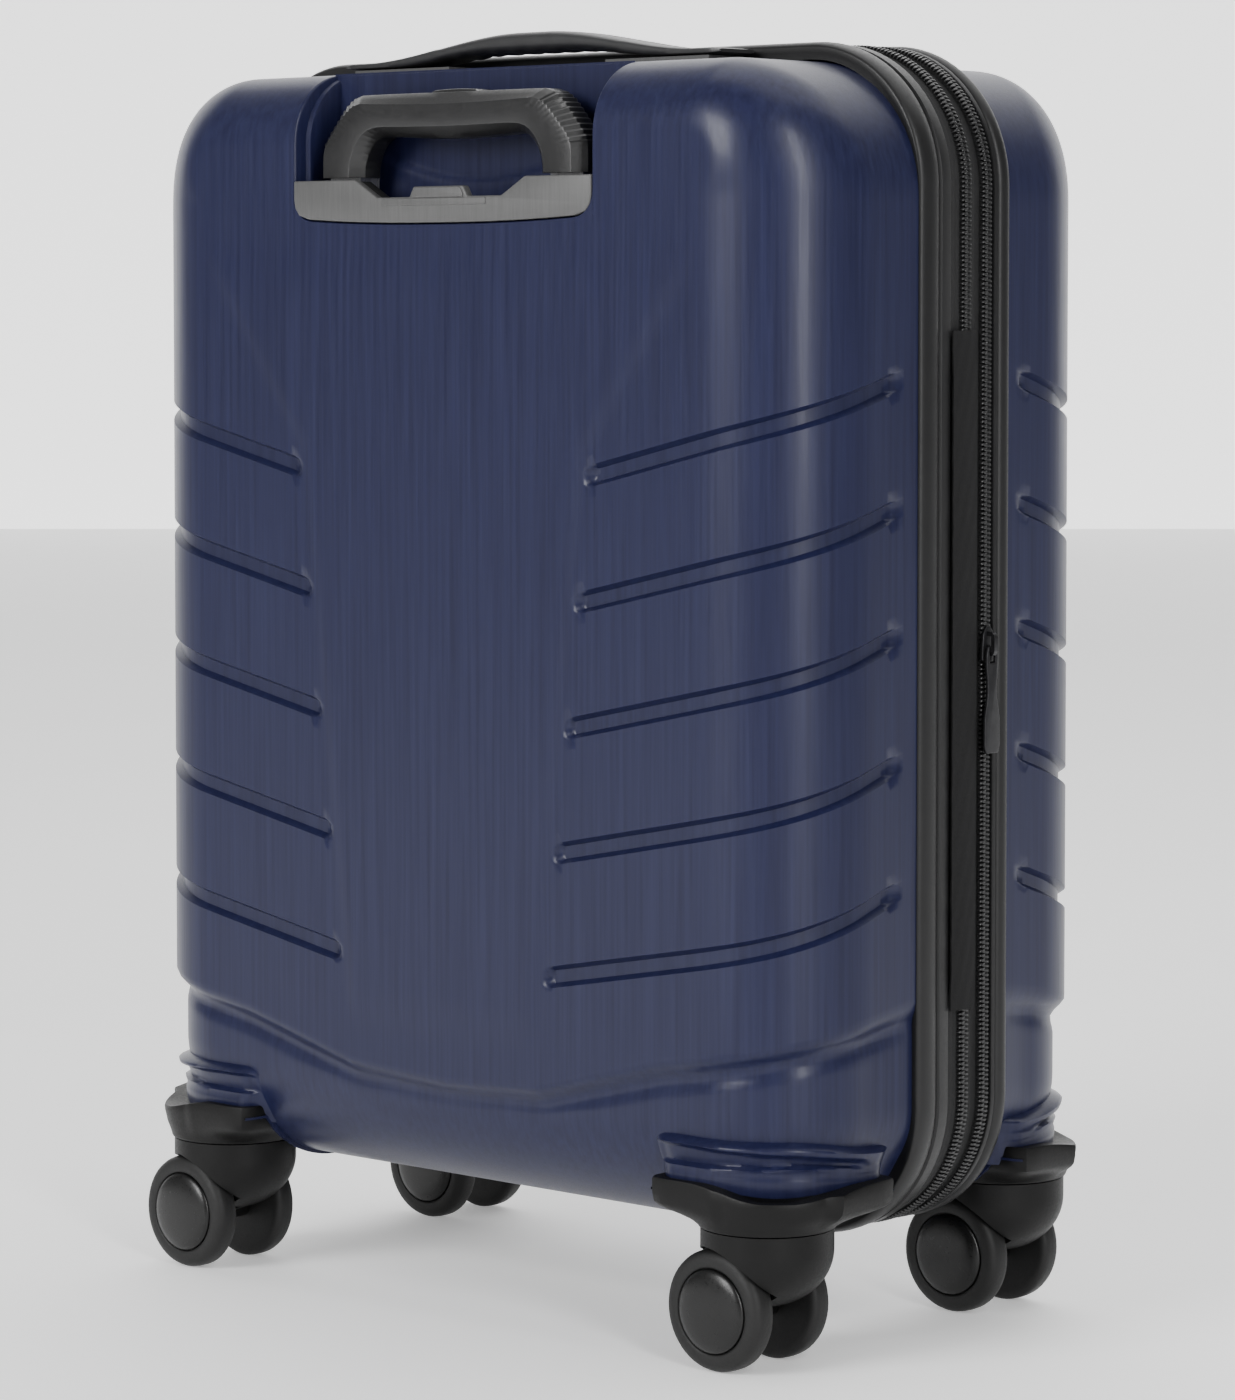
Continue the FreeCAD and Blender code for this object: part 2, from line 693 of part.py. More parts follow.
CORNERS = (
    ("back_left", -1, 1),
    ("back_right", 1, 1),
    ("front_left", -1, -1),
    ("front_right", 1, -1),
)
SCREW_RADIUS, SCREW_LONG = 2.5, 9
SCREW_PLACES = ((-34, 0), (0, -33.5))


def caster_housing(label, across, deep):
    """The moulded block that fills a wheel well and carries the swivel bearing."""
    body = rounded_slab(
        label + "_block", "shell_half + housing_proud", "shell_bottom - 1", "shell_top",
        "housing_corner", ("-shell_depth - housing_proud", "shell_depth + housing_proud"))
    face = DIMENSIONS["shell_depth"] + DIMENSIONS["housing_proud"]
    round_edges(body, label + "_edge", "housing_edge", lambda e: at_depth(face)(e) or at_depth(-face)(e))
    side_x = ("well_side", PAST_SIDE) if across > 0 else (-PAST_SIDE, "-well_side")
    side_y = ("well_front", PAST_DEEP) if deep > 0 else (-PAST_DEEP, "-well_front")
    corner = box(label + "_corner", side_x, side_y, ("housing_low", "well_top"))
    common = doc.addObject("Part::MultiCommon", label + "_common")
    common.Shapes = [body, corner]
    centre = ("%d * swivel_across" % across, "%d * swivel_deep" % deep)
    bore = cylinder(label + "_bore", "stem_radius + stem_play", "well_top - 2 - housing_low + 5",
                    (*centre, "housing_low - 5"))
    holes = [
        cylinder("%s_screw_hole_%d" % (label, i), SCREW_RADIUS, THROUGH,
                 ("%s + %d" % (centre[0], across * x), "%s + %d" % (centre[1], deep * y),
                  "housing_low - 7"))
        for i, (x, y) in enumerate(SCREW_PLACES)
    ]
    neck = cylinder(label + "_neck", "neck_radius", "housing_low + 2 - disc_top - disc_gap",
                    (*centre, "disc_top + disc_gap"))
    return cut(label + "_cut", fuse(label + "_fuse", common, neck), bore, *holes)


def caster(corner, across, deep):
    """Fork, axle and two wheels that trail behind the swivel axis, along +X."""
    label = "caster_" + corner
    bowl = doc.addObject("Part::Ellipsoid", label + "_bowl")
    bowl.Angle2 = 0
    bowl.setExpression("Radius1", linked("neck_low - bowl_low"))
    bowl.setExpression("Radius2", linked("fork_disc"))
    bowl.setExpression("Radius3", linked("fork_disc"))
    bowl.setExpression("Placement.Base.z", linked("neck_low"))
    disc = cylinder(label + "_disc", "fork_disc", "disc_top - neck_low", (0, 0, "neck_low"))
    spacer = cylinder(label + "_spacer", "stem_radius + 3", "disc_gap", (0, 0, "disc_top"))
    stem = cylinder(label + "_stem", "stem_radius", "well_top - 2.5 - disc_top", (0, 0, "disc_top"))
    strut = doc.addObject("PartDesign::Body", label + "_strut")
    pad(strut, label + "_web", [[
        ("trail + 2", "wheel_radius - 5"), ("trail + 5", "wheel_radius + 3"), (2, "neck_low"),
        (-16, "neck_low"), (-10, "bowl_low + 2"),
    ]], ("-web_half", "web_half"))
    hub = cylinder(label + "_hub", 7, "wheel_gap * 2 - 1", ("trail", "0.5 - wheel_gap", "wheel_radius"), "Y")
    bore = cylinder(label + "_axle_hole", "axle_radius", 2 * THROUGH, ("trail", -THROUGH, "wheel_radius"), "Y")
    clear = [
        cylinder("%s_clear_%s" % (label, name), "wheel_radius + 1.3", THROUGH,
                 ("trail", start, "wheel_radius"), "Y")
        for name, start in (("outer", "wheel_gap - 0.6"), ("inner", "0.6 - wheel_gap - %d" % THROUGH))
    ]
    fork_cut = cut(
        label + "_fork_cut",
        fuse(label + "_fork_fuse", cut(label + "_bowl_cut", fuse(label + "_bowl_fuse", bowl, disc), *clear),
             strut, spacer, stem, hub),
        bore)
    axle = cylinder(label + "_axle_rod", "axle_radius", "2 * (wheel_gap + wheel_width - 2)",
                    ("trail", "2 - wheel_gap - wheel_width", "wheel_radius"), "Y")
    pieces = [(fork_cut, "_fork"), (axle, "_axle")]
    for turn, name in ((1, "_wheel_outer"), (-1, "_wheel_inner")):
        wheel = doc.addObject("PartDesign::Body", label + name + "_body")
        section = sketch_on(wheel, label + name + "_section", "YZ_Plane", 0)
        gap = "%d * wheel_gap" % turn
        side = "%d * " % turn
        polygon(section, [
            (gap, "axle_radius + 0.05"), (gap, "wheel_radius - 1.6"),
            (side + "(wheel_gap + 1.6)", "wheel_radius"),
            (side + "(wheel_gap + wheel_width - 3)", "wheel_radius"),
            (side + "(wheel_gap + wheel_width)", "wheel_radius - 3"),
            (side + "(wheel_gap + wheel_width)", "cap_radius"),
            (side + "(wheel_gap + wheel_width + 1.8)", "cap_radius - 3"),
            (side + "(wheel_gap + wheel_width + 2.6)", 0),
            (side + "(wheel_gap + wheel_width - 1.8)", 0),
            (side + "(wheel_gap + wheel_width - 1.8)", "axle_radius + 0.05"),
        ])
        spun = wheel.newObject("PartDesign::Revolution", label + name + "_spun")
        spun.Profile = section
        spun.ReferenceAxis = (section, ["H_Axis"])
        spun.Angle = 360
        wheel.setExpression("Placement.Base.x", linked("trail"))
        wheel.setExpression("Placement.Base.z", linked("wheel_radius"))
        pieces.append((wheel, name))
    centre = ("%d * swivel_across" % across, "%d * swivel_deep" % deep)
    for thing, name in pieces:
        standing = doc.addObject("Part::Compound", label + name + "_standing")
        standing.Links = [thing]
        standing.setExpression("Placement.Base.x", linked(centre[0]))
        standing.setExpression("Placement.Base.y", linked(centre[1]))
        node(standing, label + name)


for corner, across, deep in CORNERS:
    node(caster_housing("housing_" + corner, across, deep), "caster_housing_" + corner)
    caster(corner, across, deep)

for half, turn in (("back", 1), ("front", -1)):
    screws = []
    for side in (-1, 1):
        for i, (x, y) in enumerate(SCREW_PLACES):
            screws.append(cylinder(
                "screw_%s_%d_%d" % (half, side, i), SCREW_RADIUS, SCREW_LONG,
                ("%d * (swivel_across + %d)" % (side, x), "%d * (swivel_deep + %d)" % (turn, y),
                 "housing_low - 0.5")))
    node(group("screws_" + half, *screws), "caster_screws_" + half)

# ---------------------------------------------------------------- check and write

doc.recompute()
for thing in doc.Objects:
    for word in ("Invalid", "Error"):
        if word in thing.State:
            raise ValueError("%s (%s) is %s" % (thing.Name, thing.Label, word))
for thing in NODES:
    if thing.Shape.isNull() or not thing.Shape.isValid():
        raise ValueError(thing.Label + " has no valid shape")

os.makedirs("parts", exist_ok=True)
for thing in NODES:
    thing.Shape.exportStep("parts/%s.step" % thing.Label)
print(len(NODES), "sub-parts")
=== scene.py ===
from math import acos, atan2, copysign, cos, hypot, pi, radians, sin, sqrt

import bmesh
import bpy
import numpy as np
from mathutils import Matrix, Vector
from mathutils.bvhtree import BVHTree


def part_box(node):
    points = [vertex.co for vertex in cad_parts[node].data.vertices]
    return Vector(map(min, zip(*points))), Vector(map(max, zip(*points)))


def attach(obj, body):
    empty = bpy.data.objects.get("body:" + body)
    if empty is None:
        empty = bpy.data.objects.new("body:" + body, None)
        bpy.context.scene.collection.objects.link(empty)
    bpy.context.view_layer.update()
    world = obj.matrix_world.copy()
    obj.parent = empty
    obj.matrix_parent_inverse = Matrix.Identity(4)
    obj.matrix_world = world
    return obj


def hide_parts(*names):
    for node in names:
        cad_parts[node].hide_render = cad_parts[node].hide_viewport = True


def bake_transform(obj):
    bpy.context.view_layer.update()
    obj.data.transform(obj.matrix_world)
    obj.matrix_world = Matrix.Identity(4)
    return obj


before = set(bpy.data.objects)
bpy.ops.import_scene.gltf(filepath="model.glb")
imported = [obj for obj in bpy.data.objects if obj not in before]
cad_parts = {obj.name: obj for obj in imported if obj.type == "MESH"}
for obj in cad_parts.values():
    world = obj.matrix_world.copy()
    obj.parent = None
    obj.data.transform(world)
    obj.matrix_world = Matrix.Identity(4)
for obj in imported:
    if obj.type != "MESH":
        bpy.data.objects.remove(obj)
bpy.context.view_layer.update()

# A hard shell cabin suitcase.  All shapes are worked out in millimetres, in the frame's own
# axes, and go into metres only when their mesh is made: +Z is up, +Y is the trolley's side.

MM = 0.001


def node_mm(name):
    """A frame node's lowest and highest corners, in millimetres."""
    low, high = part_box(name)
    return low / MM, high / MM


shell_low, shell_high = node_mm("back_shell")
rim_low, rim_high = node_mm("back_trim")
front_rim_low, front_rim_high = node_mm("front_trim")

SHELL_HALF = shell_high.x
SHELL_BOTTOM = shell_low.z
SHELL_TOP = shell_high.z
SHELL_DEPTH = shell_high.y
CORNER = 57          # radius of the outline's corners, seen from the back
SIDE_EDGE = 50       # radius of the upright edges
TOP_EDGE = 31        # and of the top's and the bottom's edges
BOTTOM_EDGE = 55
WALL = 2.2           # thickness of the shells

# ---- mesh helpers


def new_object(name, mesh, material):
    thing = bpy.data.objects.new(name, mesh)
    bpy.context.scene.collection.objects.link(thing)
    mesh.materials.append(material)
    return thing


def soften(thing, degrees=40):
    """Smooth shading that keeps edges sharper than the angle."""
    mesh = thing.data
    mesh.polygons.foreach_set("use_smooth", [True] * len(mesh.polygons))
    mesh.set_sharp_from_angle(angle=radians(degrees))
    return thing


def solid(name, points, faces, material, degrees=40, outward=True):
    """An object from points in millimetres."""
    mesh = bpy.data.meshes.new(name)
    mesh.from_pydata((np.asarray(points, float) * MM).tolist(), [], faces)
    mesh.validate()
    if outward:
        work = bmesh.new()
        work.from_mesh(mesh)
        bmesh.ops.recalc_face_normals(work, faces=work.faces)
        work.to_mesh(mesh)
        work.free()
    return soften(new_object(name, mesh, material), degrees)


def applied(thing):
    """Makes the result of the object's modifiers its mesh."""
    graph = bpy.context.evaluated_depsgraph_get()
    made = bpy.data.meshes.new_from_object(thing.evaluated_get(graph))
    thing.modifiers.clear()
    thing.data = made


def modified(thing, kind, **settings):
    """Adds a modifier and applies it straight away."""
    modifier = thing.modifiers.new(kind.lower(), kind)
    for key, value in settings.items():
        setattr(modifier, key, value)
    applied(thing)


def bevelled(thing, width, segments, degrees):
    """Rounds the edges that are sharper than the angle."""
    modified(thing, "BEVEL", width=width * MM, segments=segments, limit_method="ANGLE",
             angle_limit=radians(degrees))


def carve(things, cutters, degrees=40):
    """Takes the cutters away from the objects, and then removes the cutters."""
    for thing in things:
        for cutter in cutters:
            modifier = thing.modifiers.new("cut", "BOOLEAN")
            modifier.object = cutter
            modifier.operation = "DIFFERENCE"
        applied(thing)
        soften(thing, degrees)
    for cutter in cutters:
        bpy.data.objects.remove(cutter)


def quads(rows, columns, around_rows=False, around_columns=False):
    """Faces of a grid whose points are numbered row by row."""
    faces = []
    for r in range(rows if around_rows else rows - 1):
        for c in range(columns if around_columns else columns - 1):
            r2, c2 = (r + 1) % rows, (c + 1) % columns
            faces.append((r * columns + c, r * columns + c2, r2 * columns + c2, r2 * columns + c))
    return faces


def step(value, low, high):
    """0 below low, 1 above high, and smooth between them."""
    t = np.clip((np.asarray(value, float) - low) / (high - low), 0, 1)
    return t * t * (3 - 2 * t)


def blend_in(value, low, high):
    """The same step as a plain number."""
    return float(step(value, low, high))


def window(value, rise_low, rise_high, fall_low, fall_high):
    """Rises from 0 to 1 and falls back to 0."""
    return step(value, rise_low, rise_high) * (1 - step(value, fall_low, fall_high))


def turns_of(count):
    """The angles of equal steps round a circle."""
    return [2 * pi * k / count for k in range(count)]


def oblong(left, right, low, high):
    """The corners of a rectangle, anticlockwise from the lower left."""
    return [(left, low), (right, low), (right, high), (left, high)]


def outline(half, low, high, radius, steps=20):
    """A rounded rectangle in the X-Z plane, anticlockwise from the right side's lower end."""
    points = []
    corners = (
        (half - radius, low + radius, -90),
        (half - radius, high - radius, 0),
        (radius - half, high - radius, 90),
        (radius - half, low + radius, 180),
    )
    for x, z, start in corners:
        for i in range(steps + 1):
            turn = radians(start + 90 * i / steps)
            points.append((x + radius * cos(turn), z + radius * sin(turn)))
    return np.array(points)


def rim_sweep(name, section, material, size, degrees=40):
    """A ring around the case.  section lists (outward offset, y) round the ring's cross-section."""
    half, low, high, radius = size
    points = []
    for offset, deep in section:
        loop = outline(half + offset, low - offset, high + offset, radius + offset)
        points += [(x, deep, z) for x, z in loop]
    return solid(name, points, quads(len(section), len(loop), True, True), material, degrees)


def prism(name, corners, plane, low, high, material, bevel=0.8, segments=3, degrees=40):
    """A plate with the given outline in a plane ("xz" or "yz"), between two depths, with soft edges."""
    def place(pair, deep):
        return (pair[0], deep, pair[1]) if plane == "xz" else (deep, pair[0], pair[1])

    count = len(corners)
    points = [place(c, low) for c in corners] + [place(c, high) for c in corners]
    faces = [tuple(range(count)), tuple(range(2 * count - 1, count - 1, -1))]
    faces += [(i, (i + 1) % count, (i + 1) % count + count, i + count) for i in range(count)]
    plate = solid(name, points, faces, material, degrees)
    if bevel:
        bevelled(plate, bevel, segments, 25)
        soften(plate, degrees)
    return plate


def rounded(corners, radius, steps=6):
    """The outline with each of its corners rounded."""
    result = []
    corners = [np.array(corner, float) for corner in corners]
    for i, here in enumerate(corners):
        before, after = corners[i - 1], corners[(i + 1) % len(corners)]
        a = here + (before - here) / np.linalg.norm(before - here) * radius
        b = here + (after - here) / np.linalg.norm(after - here) * radius
        for k in range(steps + 1):
            t = k / steps
            result.append(tuple((1 - t) ** 2 * a + 2 * t * (1 - t) * here + t ** 2 * b))
    return result


def loft(name, rings, material, closed=False, degrees=40):
    """A skin over rings of the same number of points; the open ends are capped."""
    points = [p for ring in rings for p in ring]
    count = len(rings[0])
    faces = quads(len(rings), count, closed, True)
    if not closed:
        faces += [tuple(range(count - 1, -1, -1)), tuple(range(len(points) - count, len(points)))]
    return solid(name, points, faces, material, degrees)


def lathe(name, profile, centre, material, degrees=40, steps=56):
    """A profile of (radius, y) turned about the line along Y through the centre."""
    rings = [
        [(centre[0] + radius * cos(turn), centre[1] + deep, centre[2] + radius * sin(turn))
         for turn in turns_of(steps)]
        for radius, deep in profile]
    return loft(name, rings, material, degrees=degrees)


def placed(thing, body, node):
    """Puts a piece on its body and, where there is one, hides the node that it stands in for."""
    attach(thing, body)
    if node:
        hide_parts(node)
    return thing


def joined(name, things):
    """One object out of several that share their materials."""
    for thing in bpy.context.selected_objects:
        thing.select_set(False)
    for thing in things:
        thing.select_set(True)
    bpy.context.view_layer.objects.active = things[0]
    bpy.ops.object.join()
    things[0].name = name
    things[0].data.name = name
    return things[0]


def half_body(back):
    return "back_half" if back else "front_half"


# ---- materials


def linear(red, green, blue):
    """An sRGB colour in 0-255 as a linear RGBA value."""
    def channel(value):
        value /= 255
        return value / 12.92 if value <= 0.04045 else ((value + 0.055) / 1.055) ** 2.4
    return (channel(red), channel(green), channel(blue), 1)


def surface(name, dark, light, rough, grain=60, stretch=(1, 1, 1), bump=0.1, fine=900, **sockets):
    """A procedural finish: one noise varies the colour, and a finer one the roughness and the relief."""
    material = bpy.data.materials.new(name)
    material.use_nodes = True
    tree = material.node_tree
    shader = tree.nodes["Principled BSDF"]

    def make(kind, **settings):
        node = tree.nodes.new(kind)
        for key, value in settings.items():
            if key in node.inputs:
                node.inputs[key].default_value = value
            else:
                setattr(node, key, value)
        return node

    place = make("ShaderNodeTexCoord")
    mapping = make("ShaderNodeMapping", Scale=stretch)
    tree.links.new(place.outputs["Object"], mapping.inputs["Vector"])
    broad = make("ShaderNodeTexNoise", Scale=grain, Detail=5, Roughness=0.6)
    small = make("ShaderNodeTexNoise", Scale=fine, Detail=3, Roughness=0.6)
    for noise in (broad, small):
        tree.links.new(mapping.outputs["Vector"], noise.inputs["Vector"])
    ramp = make("ShaderNodeValToRGB")
    for element, position, colour in zip(ramp.color_ramp.elements, (0.3, 0.7), (dark, light)):
        element.position = position
        element.color = linear(*colour)
    tree.links.new(broad.outputs["Fac"], ramp.inputs["Fac"])
    tree.links.new(ramp.outputs["Color"], shader.inputs["Base Color"])
    spread = make("ShaderNodeMapRange")
    for key, value in zip(("From Min", "From Max", "To Min", "To Max"), (0.3, 0.7, *rough)):
        spread.inputs[key].default_value = value
    tree.links.new(small.outputs["Fac"], spread.inputs["Value"])
    tree.links.new(spread.outputs["Result"], shader.inputs["Roughness"])
    relief = make("ShaderNodeBump", Strength=bump, Distance=0.0004)
    tree.links.new(small.outputs["Fac"], relief.inputs["Height"])
    tree.links.new(relief.outputs["Normal"], shader.inputs["Normal"])
    for key, value in sockets.items():
        shader.inputs[key.replace("_", " ").title().replace("Ior", "IOR")].default_value = value
    return material


SHELL = surface(
    "navy_brushed", (18, 20, 47), (29, 32, 60), (0.30, 0.39), grain=420, stretch=(1, 1, 0.02),
    bump=0.04, fine=1500, specular_ior_level=0.26, coat_weight=0.04, coat_roughness=0.1)
TRIM = surface("trim_satin", (14, 14, 15), (19, 19, 20), (0.36, 0.48), grain=80, bump=0.06,
               specular_ior_level=0.35)
TYRE = surface("wheel_rubber", (17, 17, 17), (22, 22, 22), (0.5, 0.62), grain=120, bump=0.15,
               specular_ior_level=0.35)
TEETH = surface("zip_teeth", (20, 20, 21), (30, 30, 31), (0.3, 0.42), grain=300)
TAPE = surface("zip_tape", (15, 15, 16), (24, 24, 25), (0.75, 0.9), grain=900, bump=0.5, fine=2500)
METAL = surface("zip_metal_dark", (34, 34, 36), (46, 46, 48), (0.28, 0.4), grain=200, bump=0.08,
                metallic=0.7)
CLOTH = surface("hinge_cloth", (12, 12, 13), (19, 19, 20), (0.7, 0.85), grain=700, bump=0.4,
                fine=2200, specular_ior_level=0.25)
BEZEL = surface("bezel_brushed", (68, 68, 68), (77, 77, 77), (0.38, 0.5), grain=900,
                stretch=(1, 1, 0.05), bump=0.08, fine=2400)
GRIP = surface("grip_satin", (16, 16, 17), (21, 21, 22), (0.3, 0.42), grain=120)
DARK = surface("dark_plastic", (10, 10, 11), (16, 16, 17), (0.5, 0.7), grain=90)
HANDLE = surface("handle_satin", (34, 34, 35), (42, 42, 43), (0.34, 0.46), grain=110, bump=0.12)
CASTER = surface("caster_plastic", (6, 6, 6), (9, 9, 9), (0.42, 0.55), grain=90, bump=0.08,
                 specular_ior_level=0.22)
HUB = surface("hub_cap", (8, 8, 8), (11, 11, 11), (0.26, 0.36), grain=90, bump=0.05,
              specular_ior_level=0.4)
LINING = surface("lining_cloth", (38, 38, 42), (52, 52, 57), (0.75, 0.9), grain=500, bump=0.5,
                 fine=1900)
WEBBING = surface("webbing_black", (20, 20, 21), (30, 30, 31), (0.65, 0.85), grain=600,
                  stretch=(0.2, 1, 1), bump=0.5, fine=1600)
TUBE = surface("tube_aluminium", (150, 150, 152), (172, 172, 174), (0.25, 0.36), grain=300,
               stretch=(1, 1, 0.03), bump=0.05, metallic=0.9)
STEEL = surface("axle_steel", (120, 120, 122), (140, 140, 142), (0.25, 0.4), grain=200, bump=0.05,
                metallic=0.9)

# ---- shells

GROOVES = 5
FIRST_GROOVE = 154.4         # height of the lowest groove's inner end
GROOVE_PITCH = 52.4
SLOPE_CHANGE = 12            # over this arc length a groove turns to its steeper slope
GROOVE_HALF = 2.6            # half of a groove's flat floor
GROOVE_LIP = 2.0             # width of each of its walls
GROOVE_DEEP = 3.1
BAND_DEEP = 4.9              # how far the shell steps in below the V shaped band
BAND_LINE = 1.2              # the shallow line that follows the band
SHIELD_RISE = 0.45           # the raised field in the middle of the back
MID_ARC = SHELL_HALF - CORNER + (CORNER - SIDE_EDGE) + SIDE_EDGE * pi / 4
GROOVE_END_ARC = SHELL_HALF - SIDE_EDGE + SIDE_EDGE * pi / 2 + (SHELL_DEPTH - SIDE_EDGE) - 42


def groove_start(k):
    """Where groove k starts, as a distance from the middle of the back."""
    return 62 + 5.9 * k


def groove_height(k, arc):
    """Height of groove k at an arc length from the middle of the back: 0 is the lowest groove."""
    start = groove_start(k)
    slope = 0.183 + 0.0132 * k
    side_slope = 0.335 - 0.01 * k
    steeper = (side_slope - slope) * SLOPE_CHANGE * np.log1p(np.exp((arc - MID_ARC) / SLOPE_CHANGE))
    inward = np.maximum(arc, start * 0.5)
    return FIRST_GROOVE + GROOVE_PITCH * k + slope * (inward - start) + steeper


def band_height(arc):
    """Height of the thick V shaped step near the bottom."""
    return (
        101.5 + 0.05 * np.minimum(arc, 55) + 0.26 * np.clip(arc - 55, 0, 65)
        + 0.175 * np.maximum(arc - 120, 0))


def pattern(x, z, arc):
    """How far the shell stands out of its plain form at each point, for the back half."""
    arc = np.abs(arc)
    out = np.zeros_like(z)
    for k in range(GROOVES):
        off = np.abs(z - groove_height(k, arc))
        start = groove_start(k)
        inner_end = np.sqrt(np.maximum(0, off ** 2 + np.maximum(0, start + GROOVE_HALF - arc) ** 2))
        outer_end = np.maximum(0, arc - GROOVE_END_ARC + GROOVE_HALF)
        away = np.maximum(inner_end, np.sqrt(off ** 2 + outer_end ** 2))
        out -= GROOVE_DEEP * (1 - step(away, GROOVE_HALF, GROOVE_HALF + GROOVE_LIP))
    band = band_height(arc)
    fade = 1 - step(arc, 225, 262)
    out -= BAND_DEEP * (1 - step(z, band - 3.5, band + 3.5)) * (0.35 + 0.65 * fade)
    out -= BAND_LINE * window(z, band - 12, band - 5, band - 5, band - 1) * fade
    shield = 62 + 0.113 * (z - 154) - 6 + np.maximum(0, z - 372) * 0.62
    out += SHIELD_RISE * (1 - step(np.abs(x), shield - 4, shield + 4)) * window(z, 120, 140, 440, 465)
    return out


def spaced(stops, pitch):
    """Values from the first stop to the last, through every stop, about pitch apart."""
    values = [stops[0]]
    for low, high in zip(stops, stops[1:]):
        count = max(1, round((high - low) / pitch(0.5 * (low + high))))
        values += [low + (high - low) * (i + 1) / count for i in range(count)]
    return np.array(values)


RECESS_HALF = 88
RECESS_FLOOR = 468
RECESS_WALL = 80
FLAT_HALF = SHELL_HALF - CORNER
FLAT_LOW, FLAT_HIGH = SHELL_BOTTOM + CORNER, SHELL_TOP - CORNER
SPOKE_STEPS = 44             # over the edge
WALL_STEPS = 12              # down the wall, from the edge to the rim
CORNER_STEPS = 26
WALL_FOOT = rim_high.y - 6
PARAMS = ([i / SPOKE_STEPS for i in range(SPOKE_STEPS + 1)]
          + [1 + (i + 1) / WALL_STEPS for i in range(WALL_STEPS)])
GROOVE_EDGES = (-GROOVE_HALF - GROOVE_LIP, -GROOVE_HALF - 0.5 * GROOVE_LIP, -GROOVE_HALF, 0,
                GROOVE_HALF, GROOVE_HALF + 0.5 * GROOVE_LIP, GROOVE_HALF + GROOVE_LIP)
ROW_KEYS = [(None, 0)] + [(k, edge) for k in range(GROOVES) for edge in GROOVE_EDGES] + [(None, 1)]


def row_height(key, arc):
    """Height of a row that follows the foot, the head or a groove's edge."""
    k, edge = key
    if k is None:
        return np.full_like(arc, FLAT_HIGH if edge else FLAT_LOW)
    return groove_height(k, np.abs(arc)) + edge


def row_counts():
    """How many rows lie between each pair of neighbouring keys."""
    middles = [float(row_height(key, np.array([100.0]))[0]) for key in ROW_KEYS]
    return [max(1, round((high - low) / (1.8 if low < 125 else 4.5)))
            for low, high in zip(middles, middles[1:])]


def rows_at(arc):
    """All rows' heights at the given arc lengths: an array of rows by arcs."""
    lines = [row_height(key, arc) for key in ROW_KEYS]
    result = [lines[0]]
    for before, after, count in zip(lines, lines[1:], row_counts()):
        result += [before + (after - before) * (i + 1) / count for i in range(count)]
    return np.array(result)


def over_edge(edge, t):
    """(distance inside the outline, depth y, arc beyond the flat middle) along a spoke."""
    flat = CORNER - edge
    bend = edge * pi / 2
    run = t * (flat + bend) if t <= 1 else flat + bend
    if run <= flat:
        return CORNER - run, SHELL_DEPTH, run
    turn = min((run - flat) / edge, pi / 2)
    inside = edge * (1 - sin(turn))
    deep = SHELL_DEPTH - edge * (1 - cos(turn))
    if t > 1:
        fall = (t - 1) * (deep - WALL_FOOT)
        return 0.0, deep - fall, run + fall
    return inside, deep, run


def corner_edge(angle):
    """Edge radius on a corner, from the side's to the top's or bottom's; angle 0 is the side."""
    upright = TOP_EDGE if angle > 0 else BOTTOM_EDGE
    return SIDE_EDGE + (upright - SIDE_EDGE) * blend_in(abs(angle), 0, 90)


def perimeter(last_row, last_column):
    """The spokes round the middle grid: kind, side, place along it, and the grid point it starts from."""
    rows, columns = range(last_row + 1), range(last_column + 1)
    turns = [90 * i / CORNER_STEPS for i in range(1, CORNER_STEPS)]
    loop = [("side", 1, r, ("m", r, last_column)) for r in rows]
    loop += [("corner", (1, 1), turn, ("m", last_row, last_column)) for turn in turns]
    loop += [("top", 1, c, ("m", last_row, c)) for c in reversed(columns)]
    loop += [("corner", (-1, 1), turn, ("m", last_row, 0)) for turn in reversed(turns)]
    loop += [("side", -1, r, ("m", r, 0)) for r in reversed(rows)]
    loop += [("corner", (-1, -1), -turn, ("m", 0, 0)) for turn in turns]
    loop += [("top", -1, c, ("m", 0, c)) for c in columns]
    loop += [("corner", (1, -1), -turn, ("m", 0, last_column)) for turn in reversed(turns)]
    return loop


def spoke_point(kind, which, at, t, columns, side_heights):
    """(x, y, z, arc) of the point at t along one spoke."""
    if kind == "side":
        inside, deep, run = over_edge(SIDE_EDGE, t)
        return which * (SHELL_HALF - inside), deep, side_heights[at], which * (FLAT_HALF + run)
    if kind == "top":
        inside, deep, run = over_edge(TOP_EDGE if which > 0 else BOTTOM_EDGE, t)
        height = SHELL_TOP - inside if which > 0 else SHELL_BOTTOM + inside
        return columns[at], deep, height, columns[at]
    inside, deep, run = over_edge(corner_edge(at), t)
    reach, turn = CORNER - inside, radians(at)
    x = which[0] * (FLAT_HALF + reach * cos(turn))
    z = (FLAT_HIGH if which[1] > 0 else FLAT_LOW) + reach * sin(turn)
    return x, deep, z, which[0] * (FLAT_HALF + run * cos(turn) ** 2)


def spoke_faces(index, count):
    """Faces between neighbouring spokes; those that start from one grid point begin with a triangle."""
    faces = []
    for n in range(count):
        m = (n + 1) % count
        for j in range(len(PARAMS) - 1):
            face = [index[n, j], index[n, j + 1], index[m, j + 1], index[m, j]]
            if j == 0 and index[n, 0] == index[m, 0]:
                face = face[:3]
            faces.append(tuple(face))
    return faces


